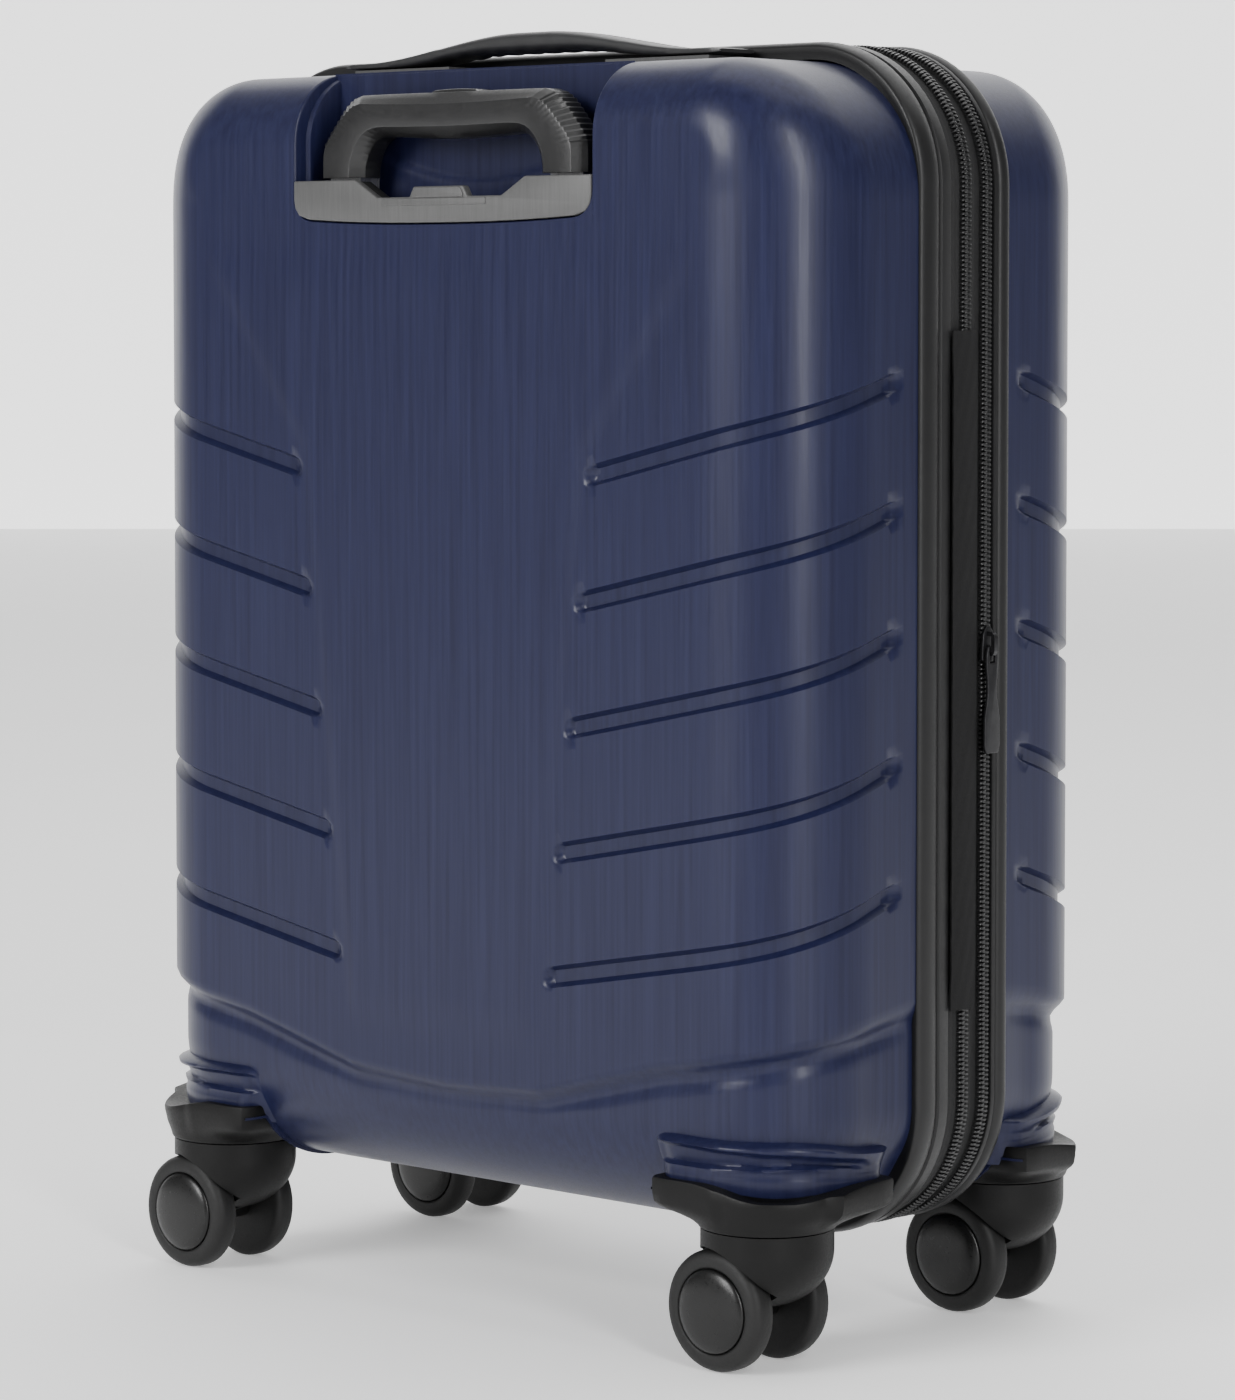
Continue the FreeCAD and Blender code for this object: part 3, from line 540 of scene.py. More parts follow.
def shell_surface():
    """Points, arc lengths and faces of the back half's outer skin; the front half mirrors it."""
    half_columns = spaced([0, 56, RECESS_HALF, 94, FLAT_HALF], lambda v: 1.9 if 56 < v < 94 else 2.6)
    columns = np.concatenate([-half_columns[:0:-1], half_columns])
    middle = rows_at(columns)
    points, index = [], {}
    for r, row in enumerate(middle):
        for c, x in enumerate(columns):
            index["m", r, c] = len(points)
            points.append((x, SHELL_DEPTH, row[c], x))
    faces = quads(len(middle), len(columns))
    side_rows = rows_at(np.array([FLAT_HALF + over_edge(SIDE_EDGE, t)[2] for t in PARAMS]))
    loop = perimeter(len(middle) - 1, len(columns) - 1)
    for n, (kind, which, at, root) in enumerate(loop):
        index[n, 0] = index[root]
        for j, t in enumerate(PARAMS[1:], 1):
            index[n, j] = len(points)
            points.append(spoke_point(kind, which, at, t, columns, side_rows[:, j]))
    faces += spoke_faces(index, len(loop))
    points = np.array(points)
    return points[:, :3], points[:, 3], faces


def surface_normals(points, faces):
    mesh = bpy.data.meshes.new("normals")
    mesh.from_pydata(points.tolist(), [], faces)
    normals = np.zeros(len(points) * 3, np.float32)
    mesh.vertex_normals.foreach_get("vector", normals)
    bpy.data.meshes.remove(mesh)
    normals = normals.reshape(-1, 3).astype(float)
    if np.mean(normals[:, 1]) < 0:
        normals = -normals
    return normals


def in_recess(x, y, z):
    return abs(x) < RECESS_HALF + 0.1 and z > RECESS_FLOOR - 0.1 and y > RECESS_WALL - 0.5


def faced(mesh, toward):
    """Drops loose points, and turns the skin so that its outermost face looks along Y as told."""
    work = bmesh.new()
    work.from_mesh(mesh)
    loose = [v for v in work.verts if not v.link_faces]
    bmesh.ops.delete(work, geom=loose, context="VERTS")
    middle = max(work.faces, key=lambda f: abs(f.calc_center_median().y))
    if middle.normal.y * toward < 0:
        bmesh.ops.reverse_faces(work, faces=work.faces)
    work.to_mesh(mesh)
    work.free()


def make_shell(name, back):
    points, arcs, faces = shell_surface()
    normals = surface_normals(points, faces)
    points = points + normals * pattern(points[:, 0], points[:, 2], arcs)[:, None]
    if back:
        faces = [face for face in faces if not all(in_recess(*points[v]) for v in face)]
    else:
        points = points * np.array([1, -1, 1])
    shell = solid(name, points, faces, SHELL, 50, outward=False)
    faced(shell.data, 1 if back else -1)
    modified(shell, "SOLIDIFY", thickness=WALL * MM, offset=-1)
    soften(shell, 50)
    return placed(shell, half_body(back), "back_shell" if back else "front_shell")


def hole_floor(x):
    """The lower edge of the trolley recess: nearly straight, with rounded ends."""
    near = abs(x)
    arc = 468.3 + 2.2 * (min(near, 79) / 80) ** 2.4
    if near > 76:
        reach = min((near - 76) / 12, 1)
        arc += 11.5 * (1 - sqrt(max(0, 1 - reach ** 2.2)))
    return arc


def recess_path(across, face):
    """The opening's edge, down one side and up the other: each point with its inward direction."""
    centre_y, centre_z = SHELL_DEPTH - TOP_EDGE, SHELL_TOP - TOP_EDGE
    last = acos((RECESS_WALL - centre_y) / TOP_EDGE)
    upright = [(SHELL_DEPTH, z) for z in np.linspace(hole_floor(RECESS_HALF) + 0.5, centre_z, 14)]
    for turn in np.linspace(0, last, 18)[1:]:
        upright.append((centre_y + TOP_EDGE * cos(turn), centre_z + TOP_EDGE * sin(turn)))
    path = [((-RECESS_HALF, y, z), (1, 0)) for y, z in reversed(upright)]
    for x in across:
        lean = step(abs(x), 78, 88)
        path.append(((x, face, hole_floor(x)), (-copysign(1, x) * lean, 0.45 * (1 - lean))))
    return path + [((RECESS_HALF, y, z), (-1, 0)) for y, z in upright]


def recess_walls(path):
    """The lip and the side walls; LIP gives how far each row lies inwards and below the face."""
    rows = [
        [(x + nx * inset, max(RECESS_WALL, y - drop), z + nz * inset) for (x, y, z), (nx, nz) in path]
        for inset, drop in LIP]
    return solid("recess_walls", [p for row in rows for p in row], quads(len(rows), len(path)), SHELL, 40,
                 outward=False)


def recess_back():
    """The recess's back wall, with two low curved steps across it."""
    columns = np.linspace(-RECESS_HALF, RECESS_HALF, 90)
    lines = np.linspace(RECESS_FLOOR, 535.2, 36)
    points = []
    for z in lines:
        for x in columns:
            crease = 486 + 0.0035 * x * x
            y = RECESS_WALL + 0.1 + 1.7 * (1 - blend_in(z, crease, crease + 3))
            y += 0.9 * blend_in(z, 518 - 0.002 * x * x, 522 - 0.002 * x * x)
            points.append((x, y, z))
    return solid("recess_back", points, quads(len(lines), len(columns)), SHELL, 40, outward=False)


def make_recess():
    """The lining of the trolley recess: filled corners, a stepped lip, side walls and a back wall."""
    across = np.concatenate([-88 + 12 * (1 - np.cos(np.linspace(0, np.pi / 2, 14))),
                             np.linspace(-75, 75, 60),
                             76 + 12 * np.sin(np.linspace(0, np.pi / 2, 14))])
    face = SHELL_DEPTH + 0.05
    sheet = [(x, face, RECESS_FLOOR - 0.1) for x in across] + [(x, face, hole_floor(x)) for x in across]
    patch = solid("recess_patch", sheet, quads(2, len(across)), SHELL, 30, outward=False)
    walls = recess_walls(recess_path(across, face))
    placed(joined("recess_liner", [patch, walls, recess_back()]), "back_half", "back_shell")


LIP = ((0, 0), (0.25, 0.15), (0.75, 0.7), (0.95, 1.6), (1.2, 6.5), (2.9, 7.6), (3.2, 8.6), (3.4, 40))
back_shell = make_shell("shell_back", True)
front_shell = make_shell("shell_front", False)

# ---- rims

RIM_SIZE = (rim_high.x, rim_low.z, rim_high.z, 60)


def make_rim(name, node, body, face_y, back_y):
    """A rim with a round bead towards its shell and a flat part towards the zip."""
    toward = 1 if back_y > face_y else -1
    bead = min(6.4, abs(back_y - face_y) * 0.36)
    centre = back_y - toward * bead
    section = [(-7.5, face_y), (-1.6, face_y), (-1.0, face_y + toward * 0.3), (-0.8, face_y + toward * 0.9)]
    section += [(-0.8, centre - toward * (bead + 0.9)), (-1.6, centre - toward * bead * 1.02)]
    for i in range(11):
        turn = pi * (0.06 + 0.94 * i / 10)
        section.append((-2.6 + 2.6 * sin(turn), centre - toward * bead * cos(turn)))
    section += [(-4.5, back_y - toward * 0.3), (-7.5, back_y - toward * 0.3)]
    placed(rim_sweep(name, section, TRIM, RIM_SIZE, 35), body, node)


make_rim("rim_back", "back_trim", "back_half", rim_low.y, rim_high.y)
make_rim("rim_front", "front_trim", "front_half", front_rim_high.y, front_rim_low.y)
make_recess()

# ---- zips

ZIP_SIZE = (196, 47.5, 541.5, 58)
COIL_SIZE = (196.2, 47.3, 541.7, 58.2)
TOOTH_PITCH = 1.9
TOOTH_RING = [(-0.62, 0), (-0.45, 0.75), (0.45, 0.75), (0.62, 0), (0.4, -0.5), (-0.4, -0.5)]
# A tooth's cross-sections: distance from the zip's middle, scale, and rise above the tape
TOOTH_STATIONS = ((-0.9, 0.55, 0.0), (-0.2, 0.9, 0.35), (1.2, 1.0, 0.6), (2.8, 0.9, 0.35), (3.4, 0.5, -0.1))
MAIN_ZIP_Y = -2.0
EXPANSION_ZIP_Y = -15.7


def even_loop(size, pitch):
    """Points every pitch along the outline, each with its outward direction."""
    loop = outline(*size, steps=24)
    ends = np.roll(loop, -1, axis=0)
    lengths = np.linalg.norm(ends - loop, axis=1)
    reached = np.concatenate([[0], np.cumsum(lengths)])
    count = int(reached[-1] / pitch)
    result = []
    for i in range(count):
        at = reached[-1] * i / count
        k = min(int(np.searchsorted(reached, at, side="right")) - 1, len(loop) - 1)
        along = (ends[k] - loop[k]) / max(lengths[k], 1e-9)
        here = loop[k] + along * (at - reached[k])
        result.append((here, np.array([along[1], -along[0]]), along))
    return result


def teeth(name, middle, toward, shift, body, node):
    """One half of a coil: loops that lean across the zip's middle, joined by their tape edge."""
    points, faces = [], []
    count, last = len(TOOTH_RING), len(TOOTH_STATIONS) - 1
    for here, outward, along in even_loop(COIL_SIZE, TOOTH_PITCH):
        base = len(points)
        for deep, scale, rise in TOOTH_STATIONS:
            for side, lift in TOOTH_RING:
                spot = here + along * (side * scale + shift * TOOTH_PITCH + 0.12 * deep)
                spot = spot + outward * (lift * scale + rise)
                points.append((spot[0], middle + toward * deep, spot[1]))
        faces += [tuple(base + v for v in face) for face in quads(last + 1, count, False, True)]
        faces.append(tuple(base + c for c in range(count)))
        faces.append(tuple(base + last * count + c for c in range(count)))
    placed(solid(name, points, faces, TEETH, 60, outward=False), body, node)


def tape_ring(name, low, high, body, node):
    """A woven tape around the case, with a raised cord along the coil and fine ribs across it."""
    span = high - low
    section = [(-2.0, low)]
    for i in range(13):
        t = i / 12
        section.append((-0.75 + 0.22 * cos(t * pi * 6), low + 0.02 + (span - 0.04) * t))
    section.append((-2.0, high))
    placed(rim_sweep(name, section, TAPE, ZIP_SIZE, 50), body, node)


tape_ring("tape_main_back", -1.6, 8.4, "back_half", "main_zip_back")
tape_ring("tape_main_front", -8.4, -2.3, "zip_band", "main_zip_front")
tape_ring("tape_grow_back", -15.5, -13.05, "zip_band", "expansion_zip_back")
tape_ring("tape_grow_front", -20.2, -15.95, "front_half", "expansion_zip_front")
teeth("coil_main_back", MAIN_ZIP_Y, 1, 0, "back_half", "main_zip_back")
teeth("coil_main_front", MAIN_ZIP_Y, -1, 0.5, "zip_band", "main_zip_front")
teeth("coil_grow_back", EXPANSION_ZIP_Y, 1, 0, "zip_band", "expansion_zip_back")
teeth("coil_grow_front", EXPANSION_ZIP_Y, -1, 0.5, "front_half", "expansion_zip_front")

# ---- slider bodies and pulls

# All in (across the zip, up): the body from its low end, the pull from its top bar
SLIDER_HIGH = 15
SLIDER_OUTLINE = ((-4.2, 1), (-3.0, 0), (3.0, 0), (4.2, 1), (4.2, 5), (3.4, SLIDER_HIGH - 3),
                  (1.2, SLIDER_HIGH), (-1.2, SLIDER_HIGH), (-3.4, SLIDER_HIGH - 3), (-4.2, 5))
PULL_OUTLINE = (
    (-3.0, -0.8), (-1.6, 0), (1.6, 0), (3.0, -0.8), (3.8, -4), (3.9, -9), (3.0, -15), (3.1, -22), (4.9, -30),
    (5.0, -42), (3.8, -45), (-3.8, -45), (-5.0, -42), (-4.9, -30), (-3.1, -22), (-3.0, -15), (-3.9, -9),
    (-3.8, -4))
# The bridge from the slider's foot to its head, as (outward, up)
BRIDGE = ((1.6, 2.2), (4.6, 2.6), (5.6, 3.6), (5.9, 5), (5.9, 10), (5.6, 11.4), (4.6, 12.4), (1.6, 12.8))
BRIDGE_HALF = 1.15
SLIDER_FACE = 196.5


def make_slider(name, side, deep, low):
    """A slider with flared shoulders and a bridge, and a waisted pull that hangs from it."""
    def away(distance):
        return side * SLIDER_FACE + side * distance

    body = [(deep + a, low + b) for a, b in SLIDER_OUTLINE]
    plate = prism(name + "_slider_body", body, "yz", *sorted((away(0.3), away(2.1))), METAL, 0.5)
    arch = []
    for out, up in BRIDGE:
        inner_out = max(1.6, (min(out, 4.8) if 3 < up < 12 else out) - 0.6)
        inner_up = min(max(up, 4.2), 10.8)
        arch.append([(away(out), deep - BRIDGE_HALF, low + up), (away(out), deep + BRIDGE_HALF, low + up),
                     (away(inner_out), deep + BRIDGE_HALF, low + inner_up),
                     (away(inner_out), deep - BRIDGE_HALF, low + inner_up)])
    slider = joined(name + "_slider_piece", [plate, loft(name + "_bridge", arch, METAL)])
    placed(slider, name + "_slider", name + "_slider")

    top = low + 7
    outer = [(deep + a, top + b) for a, b in PULL_OUTLINE]
    inner = [(deep + a, top + b) for a, b in ((-2.0, -2.0), (2.0, -2.0), (2.0, -7.4), (-2.0, -7.4))]
    tab = prism(name + "_tab", outer, "yz", *sorted((away(2.7), away(4.3))), METAL, 0)
    carve([tab], [prism(name + "_hole", inner, "yz", *sorted((away(1.0), away(7.0))), METAL, 0)])
    bevelled(tab, 0.45, 3, 40)
    soften(tab, 35)
    tab.name = name + "_pull_piece"
    placed(tab, name + "_pull", name + "_pull")


make_slider("expansion", -1, EXPANSION_ZIP_Y, 286.5)
make_slider("upper_zip", 1, MAIN_ZIP_Y, 352)
make_slider("lower_zip", 1, MAIN_ZIP_Y, 210)

# ---- cloth hinge and gusset

HINGE_LOW, HINGE_HIGH = 143, 424
HINGE_FACE, HINGE_THICK = 196.6, 0.7
GUSSET_SIZE = (186.2, 57.3, 525.7, 47.7)
GUSSET_BACK, GUSSET_DEEP, GUSSET_THICK = -13.1, 17.0, 0.9


def hinge_cloth():
    """A folded strip of cloth over the closed side of the zip."""
    across = [8.4, 7.6, 6.4, 5, 3.6, 2.4, 1.2, 0, -1.2, -2.4, -3.6, -4.8, -6, -7.2]
    heights = np.linspace(HINGE_LOW, HINGE_HIGH, 70)
    outer, inner = [], []
    for z in heights:
        taper = 1.4 * (step(abs(z - (HINGE_LOW + HINGE_HIGH) / 2), 120, 141))
        for y in across:
            bow = 1.9 + 0.5 * cos((y - 0.6) / 7.8 * pi / 2) - taper * 0.3
            bow += 0.09 * sin(z * 0.31 + y) + 0.07 * sin(z * 0.83)
            outer.append((-HINGE_FACE - bow, y, z))
            inner.append((-HINGE_FACE - bow + HINGE_THICK, y, z))
    rows, columns, count = len(heights), len(across), len(outer)
    faces = quads(rows, columns)
    back = [tuple(v + count for v in reversed(face)) for face in faces]
    edges = [(r * columns + c, (r + 1) * columns + c) for r in range(rows - 1) for c in (0, columns - 1)]
    edges += [(r * columns + c, r * columns + c + 1) for c in range(columns - 1) for r in (0, rows - 1)]
    rim = [(a, b, b + count, a + count) for a, b in edges]
    strip = solid("hinge_strip", outer + inner, faces + back + rim, CLOTH, 50)
    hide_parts("cloth_hinge")
    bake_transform(strip)


def gusset():
    """The folded cloth wall that lets the case grow deeper."""
    section = []
    for i in range(17):
        t = i / 16
        section.append((-0.3 - 1.1 * abs(sin(t * pi * 2)), GUSSET_BACK - GUSSET_DEEP * t))
    back = [(offset - GUSSET_THICK, deep) for offset, deep in reversed(section)]
    ring = rim_sweep("grow_gusset", section + back, CLOTH, GUSSET_SIZE, 50)
    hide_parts("expansion_gusset")
    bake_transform(ring)


hinge_cloth()
gusset()

# ---- trolley bezel, grip, button

LEG_X, LEG_Y = 65, 92        # the middle of each telescopic leg
LEG_ROOM = 10.9              # half of the opening for a leg
BEZEL_HALF = 87.2
FACE_BACK, FACE_FRONT = 103.5, 107.6


def make_collar(side):
    """The dark ring round one leg."""
    ring = rounded(oblong(-12.4, 12.4, -9, 9), 2.5)
    hole = rounded(oblong(-LEG_ROOM, LEG_ROOM, -7.4, 7.4), 1.8)
    rings = [[(side * LEG_X + a, LEG_Y + b, z) for a, b in shape]
             for shape, z in ((ring, 470.2), (ring, 474.4), (hole, 475.0), (hole, 470.2))]
    return loft("collar_%d" % side, rings, DARK, closed=True)


def make_bezel():
    """The plate round the legs: a face with a finger notch, a latch line and a dark base."""
    half = BEZEL_HALF
    lower = [(x, 469.2 + 2.2 * (abs(x) / 80) ** 2.4) for x in np.linspace(-78, 78, 33)]
    right = [(half - 3.2, 473.0), (half - 0.7, 476.2), (half, 480.0), (half, 488), (50, 488), (36.5, 480.2)]
    notch = [(17, 480.2), (14.5, 484.6), (-14.5, 484.6), (-17, 480.2)]
    left = [(-x, z) for x, z in reversed(right)]
    face = prism("bezel_face", lower + right + notch + left, "xz", FACE_BACK, FACE_FRONT, BEZEL, 0.7, 3, 30)
    shrunk = [(x * 0.985, z + (0.8 if z < 479 else -0.6)) for x, z in lower + right + left]
    under = prism("bezel_under", shrunk, "xz", 98, FACE_BACK + 0.1, DARK, 0.3)
    latch_line = rounded(oblong(-28, 33, 476.6, 479.6), 0.8)
    latch = prism("bezel_latch", latch_line, "xz", 107.2, 108.0, BEZEL, 0.3)
    tab_line = rounded([(-15.5, 479.9), (15.5, 479.9), (13.4, 484.2), (-13.4, 484.2)], 1.6)
    tab = prism("bezel_tab", tab_line, "xz", 107.2, 108.2, BEZEL, 0.4)
    collars = [make_collar(side) for side in (-1, 1)]
    floor = prism("bezel_floor", rounded(oblong(-87, 87, 468.3, 470.6), 0.5), "xz", 80.6, 99, DARK, 0.3)
    legs = []
    for middle in (-LEG_X, LEG_X):
        corners = oblong(middle - LEG_ROOM, middle + LEG_ROOM, 460, 480)
        legs.append(prism("leg_room", corners, "xz", 84.5, 99.5, DARK, 0))
    carve([floor, under], legs)
    placed(joined("bezel_plate", [face, latch, tab]), "back_half", "trolley_bezel")
    placed(joined("bezel_base", [under, floor] + collars), "back_half", "trolley_bezel")


def grip_section(inner, outer, low, high, soft):
    """An eight sided ring between an inner and an outer point of the arch."""
    inner, outer = np.array(inner, float), np.array(outer, float)
    span = np.linalg.norm(outer - inner)
    across = (outer - inner) / span
    cut = min(soft, span * 0.34)
    spots = [(cut, low), (span - cut, low), (span, low + soft), (span, high - soft),
             (span - cut, high), (cut, high), (0, high - soft), (0, low + soft)]
    ring = []
    for n, (reach, deep) in enumerate(spots):
        next_reach, next_deep = spots[(n + 1) % 8]
        for t in (0.04, 0.5, 0.96):
            spot = inner + across * (reach + (next_reach - reach) * t)
            ring.append((spot[0], deep + (next_deep - deep) * t, spot[1]))
    return ring


GRIP_OUTER = ((78, 489.2), (78, 496), (77.8, 500), (76.6, 504), (73.5, 508.3), (70, 512.4), (66.5, 516.4),
              (63, 520), (59, 522.9), (54, 524.4), (47, 524.5))
GRIP_INNER = ((52, 489.2), (51.8, 493), (51.2, 496), (50, 499), (48.4, 501.6), (46.6, 503.6), (44.6, 505.1),
              (42.4, 506), (40, 506.4), (37.5, 506.4), (34, 506.2))
GRIP_STEPS = 70


def make_grip():
    """The arch that the hand pulls: bevelled all round, with fine ribs on both shoulders."""
    side = []
    last = len(GRIP_OUTER) - 1
    for i in range(GRIP_STEPS + 1):
        t = i / GRIP_STEPS * last
        k = min(int(t), last - 1)
        blend = t - k
        inner = np.array(GRIP_INNER[k]) * (1 - blend) + np.array(GRIP_INNER[k + 1]) * blend
        outer = np.array(GRIP_OUTER[k]) * (1 - blend) + np.array(GRIP_OUTER[k + 1]) * blend
        rib = 0.35 * sin(i * pi / 2) * float(window(i, 14, 22, 52, 60))
        side.append((inner, outer + rib * np.array((0.7, 0.7))))
    across = [((x, 506.2 - 1.4 * cos(x / 34 * pi / 2)), (x * 1.38, 524.5)) for x in (28, 22, 16, 10, 5)]
    stations = side + across + [((0, 504.8), (0, 524.5))]
    stations += [((-a[0], a[1]), (-b[0], b[1])) for a, b in reversed(side + across)]
    rings = [grip_section(a, b, 84.2, 103.8, 5.4) for a, b in stations]
    grip = loft("grip_arch", rings, GRIP, degrees=22)
    room = prism("button_room", rounded(oblong(-14.4, 14.4, 517, 530), 0.5), "xz", 85.7, 98.3, DARK, 0)
    carve([grip], [room], 24)
    placed(grip, "trolley_upper", "trolley_grip")


def make_button():
    """A push button with a crescent pressed into its top."""
    columns, rows = 41, 21
    points = []
    for r in range(rows):
        for c in range(columns):
            a, b = -1 + 2 * c / (columns - 1), -1 + 2 * r / (rows - 1)
            edge = max(abs(a), abs(b))
            x, y = 13.7 * a, LEG_Y + 5.8 * b
            crown = 0.5 * (1 - a * a)
            reach = hypot(x / 1.6, (y - LEG_Y) - 3.2)
            dent = 0.55 * (1 - step(abs(reach - 4.2), 0.4, 1.3)) * (1 if y < 93.5 else 0)
            fall = 1.1 * step(edge, 0.86, 1.0)
            points.append((x, y, 525.3 + crown - dent - fall))
    faces = quads(rows, columns)
    rim = [c for c in range(columns)] + [r * columns + columns - 1 for r in range(1, rows)]
    rim += [(rows - 1) * columns + c for c in range(columns - 2, -1, -1)]
    rim += [r * columns for r in range(rows - 2, 0, -1)]
    base, count = len(points), len(rim)
    points += [(points[v][0], points[v][1], 520.2) for v in rim]
    faces += [(rim[i], rim[(i + 1) % count], base + (i + 1) % count, base + i) for i in range(count)]
    faces.append(tuple(range(base, base + count)))
    placed(solid("push_button", points, faces, GRIP, 35), "trolley_release", "release_button")


make_bezel()
make_grip()
make_button()

# ---- carry handles


def handle_ring(x, rise):
    """A squared cross-section of a carry handle, x from its middle, in the handle's own axes."""
    near = 1 - blend_in(abs(x), 8, 98)
    low = 3.6 + 4.3 * (1 - blend_in(abs(x), 26, 80))
    high = 6.4 + (rise - 6.4) * near
    end = blend_in(abs(x), 105, 110.5)
    middle, half = (low + high) / 2, (high - low) / 2 * (1 - 0.45 * end)
    wide = 12 - 1.2 * end - 0.8 * near
    power = 0.5 if near > 0.5 else 0.36
    ring = []
    for turn in turns_of(28):
        c, s = cos(turn), sin(turn)
        y = wide * copysign(abs(c) ** power, c)
        z = middle + half * copysign(abs(s) ** (power + 0.25 * near), s)
        if near > 0.55 and s < 0:
            z += 0.35 * sin(x * 0.55) * (1 if abs(c) < 0.9 else 0)
        ring.append((x, y, z))
    return ring


def make_handle(name, rise, place, upright):
    """A bowed grip between two thin squared flaps; rise is how high its bow stands."""
    stops = np.concatenate([
        np.linspace(-110, -106, 4), np.linspace(-104, 104, 70), np.linspace(106, 110, 4)])
    rings = []
    for stop in stops:
        ring = handle_ring(stop, rise)
        if upright:
            rings.append([(place[0] + z, place[1] + y, place[2] - x) for x, y, z in ring])
        else:
            rings.append([(place[0] + x, place[1] + y, place[2] + z) for x, y, z in ring])
    placed(loft(name + "_piece", rings, HANDLE), name, name)


make_handle("top_handle", 16.9, (0, 42, 535), False)
make_handle("side_handle", 12.4, (195.5, 54, 310), True)

# ---- lock

DIAL_HEIGHTS = (273, 283, 293)
DIAL_X, DIAL_Y, DIAL_RADIUS = 199, 18, 5.45
DIAL_STEPS = 80


def make_dial(number, z):
    """A dial with ten grooves round it, chamfered at both ends."""
    rings = []
    for up, shrink in ((-2.9, 0.5), (-2.5, 0), (2.5, 0), (2.9, 0.5)):
        ring = []
        for k, turn in enumerate(turns_of(DIAL_STEPS)):
            radius = DIAL_RADIUS - shrink - (0.45 if k % 8 in (3, 4, 5) else 0)
            ring.append((DIAL_X + radius * cos(turn), DIAL_Y + radius * sin(turn), z + up))
        rings.append(ring)
    dial = loft("dial_piece_%d" % number, rings, BEZEL, degrees=30)
    placed(dial, "lock_dial_%d" % number, "lock_dial_%d" % number)


def make_lock():
    """The lock's case with room for its dials and its button."""
    case = prism("lock_case", rounded(oblong(10.2, 25.8, 263.2, 326.8), 3.5), "yz", 189, 202.6, DARK, 0.7)
    rooms = [prism("dial_room", oblong(11.8, 24.2, z - 3.3, z + 3.3), "yz", 192.6, 206, DARK, 0)
             for z in DIAL_HEIGHTS]
    rooms.append(prism("key_room", rounded(oblong(13.8, 22.2, 303.8, 318.2), 1.2), "yz", 197, 206, DARK, 0))
    carve([case], rooms)
    placed(case, "back_half", "lock_body")
    for number, z in enumerate(DIAL_HEIGHTS, 1):
        make_dial(number, z)
    key = prism("lock_key", rounded(oblong(14.1, 21.9, 304.1, 317.9), 1.4), "yz", 200.0, 204.4, BEZEL, 0.7)
    placed(key, "lock_button", "lock_button")


make_lock()

# ---- casters

SWIVEL_X, SWIVEL_Y = 158, 78
SWIVELS = {"back_left": (-1, 1), "back_right": (1, 1), "front_left": (-1, -1), "front_right": (1, -1)}
# How far the housing goes from its swivel: outwards, to the rear, to the middle, and to the zip
HOUSING_LIMITS = (198.6 - SWIVEL_X, 109.6 - SWIVEL_Y, SWIVEL_X - 119.5, SWIVEL_Y - 42)
CASE_CENTRE = (198.6 - 47 - SWIVEL_X, 109.6 - 44 - SWIVEL_Y)     # of the case's rounded corner
CASE_RADIUS = 45.5
HOUSING_STEPS = 72
SQUARENESS = 14.0
ARCH_X, ARCH_Y = 125, 45     # the point that an arch is drawn round


def well_reach(turn, grow=0.0):
    """How far the housing reaches from its swivel in one direction, for the +X +Y corner."""
    c, s = cos(turn), sin(turn)
    terms = [(limit + grow) / rate for rate, limit in zip((c, s, -c, -s), HOUSING_LIMITS) if rate > 1e-3]
    along = c * CASE_CENTRE[0] + s * CASE_CENTRE[1]
    short = CASE_CENTRE[0] ** 2 + CASE_CENTRE[1] ** 2 - (CASE_RADIUS + grow) ** 2
    inside = along * along - short
    if c > 0 and s > 0 and inside > 0:
        terms.append(along + sqrt(inside))
    return sum(t ** -SQUARENESS for t in terms) ** (-1 / SQUARENESS)


def around(corner, turn, reach, z):
    """The point at a reach from the corner's swivel; turn 45 degrees is always the case's corner."""
    sx, sy = SWIVELS[corner]
    return (sx * SWIVEL_X + sx * (reach * cos(turn)), sy * SWIVEL_Y + sy * (reach * sin(turn)), z)


def saddle(turn):
    """0 at the corner of the case and 1 at the two ends of the saddle."""
    return blend_in(abs(atan2(sin(turn - 0.75), cos(turn - 0.75))), 0.15, 1.35)


# The housing's rings: share of the way in to the swivel's round foot, margin, height, and rise at the
# saddle's ends
HOUSING_RINGS = (
    (0, 9, 72.5, 5.6), (0, 1.4, 73.1, 5.6), (0, 0.5, 73.0, 5.6), (0, 0.1, 72.1, 5.6), (0, 0.2, 70.5, 1.5),
    (0, 0.9, 67.5, 1.0), (0.12, 0.792, 66.0, 0.8), (0.3, 0.63, 64.6, 0.6133), (0.55, 0.405, 63.2, 0.4267),
    (0.8, 0.18, 61.6, 0.2133), (0.94, 0.054, 60.4, 0.0533), (1, 0.1, 59.6, 0), (1, 0.4, 59.15, 0),
    (1, 22.6, 59.15, 0))
HOUSING_FOOT = 28.6


def make_housing(corner):
    """A moulded block that turns from the case's corner shape into the swivel's round foot."""
    rings = []
    for part, margin, height, rise in HOUSING_RINGS:
        rings.append([
            around(corner, turn, well_reach(turn) * (1 - part) + HOUSING_FOOT * part - margin,
                   height + rise * saddle(turn))
            for turn in turns_of(HOUSING_STEPS)])
    housing = loft("housing_" + corner, rings, CASTER)
    placed(housing, half_body(SWIVELS[corner][1] > 0), "caster_housing_" + corner)


def well_cutter(corner):
    """What a wheel well takes out of the shell."""
    rings = []
    for height in (20, 73):
        ring = []
        for turn in turns_of(HOUSING_STEPS):
            outside = cos(turn) > -0.2 and sin(turn) > -0.2
            ring.append(around(corner, turn, well_reach(turn, -1.6) + (25 if outside else 0), height))
        rings.append(ring)
    return loft("well_" + corner, rings, CASTER)


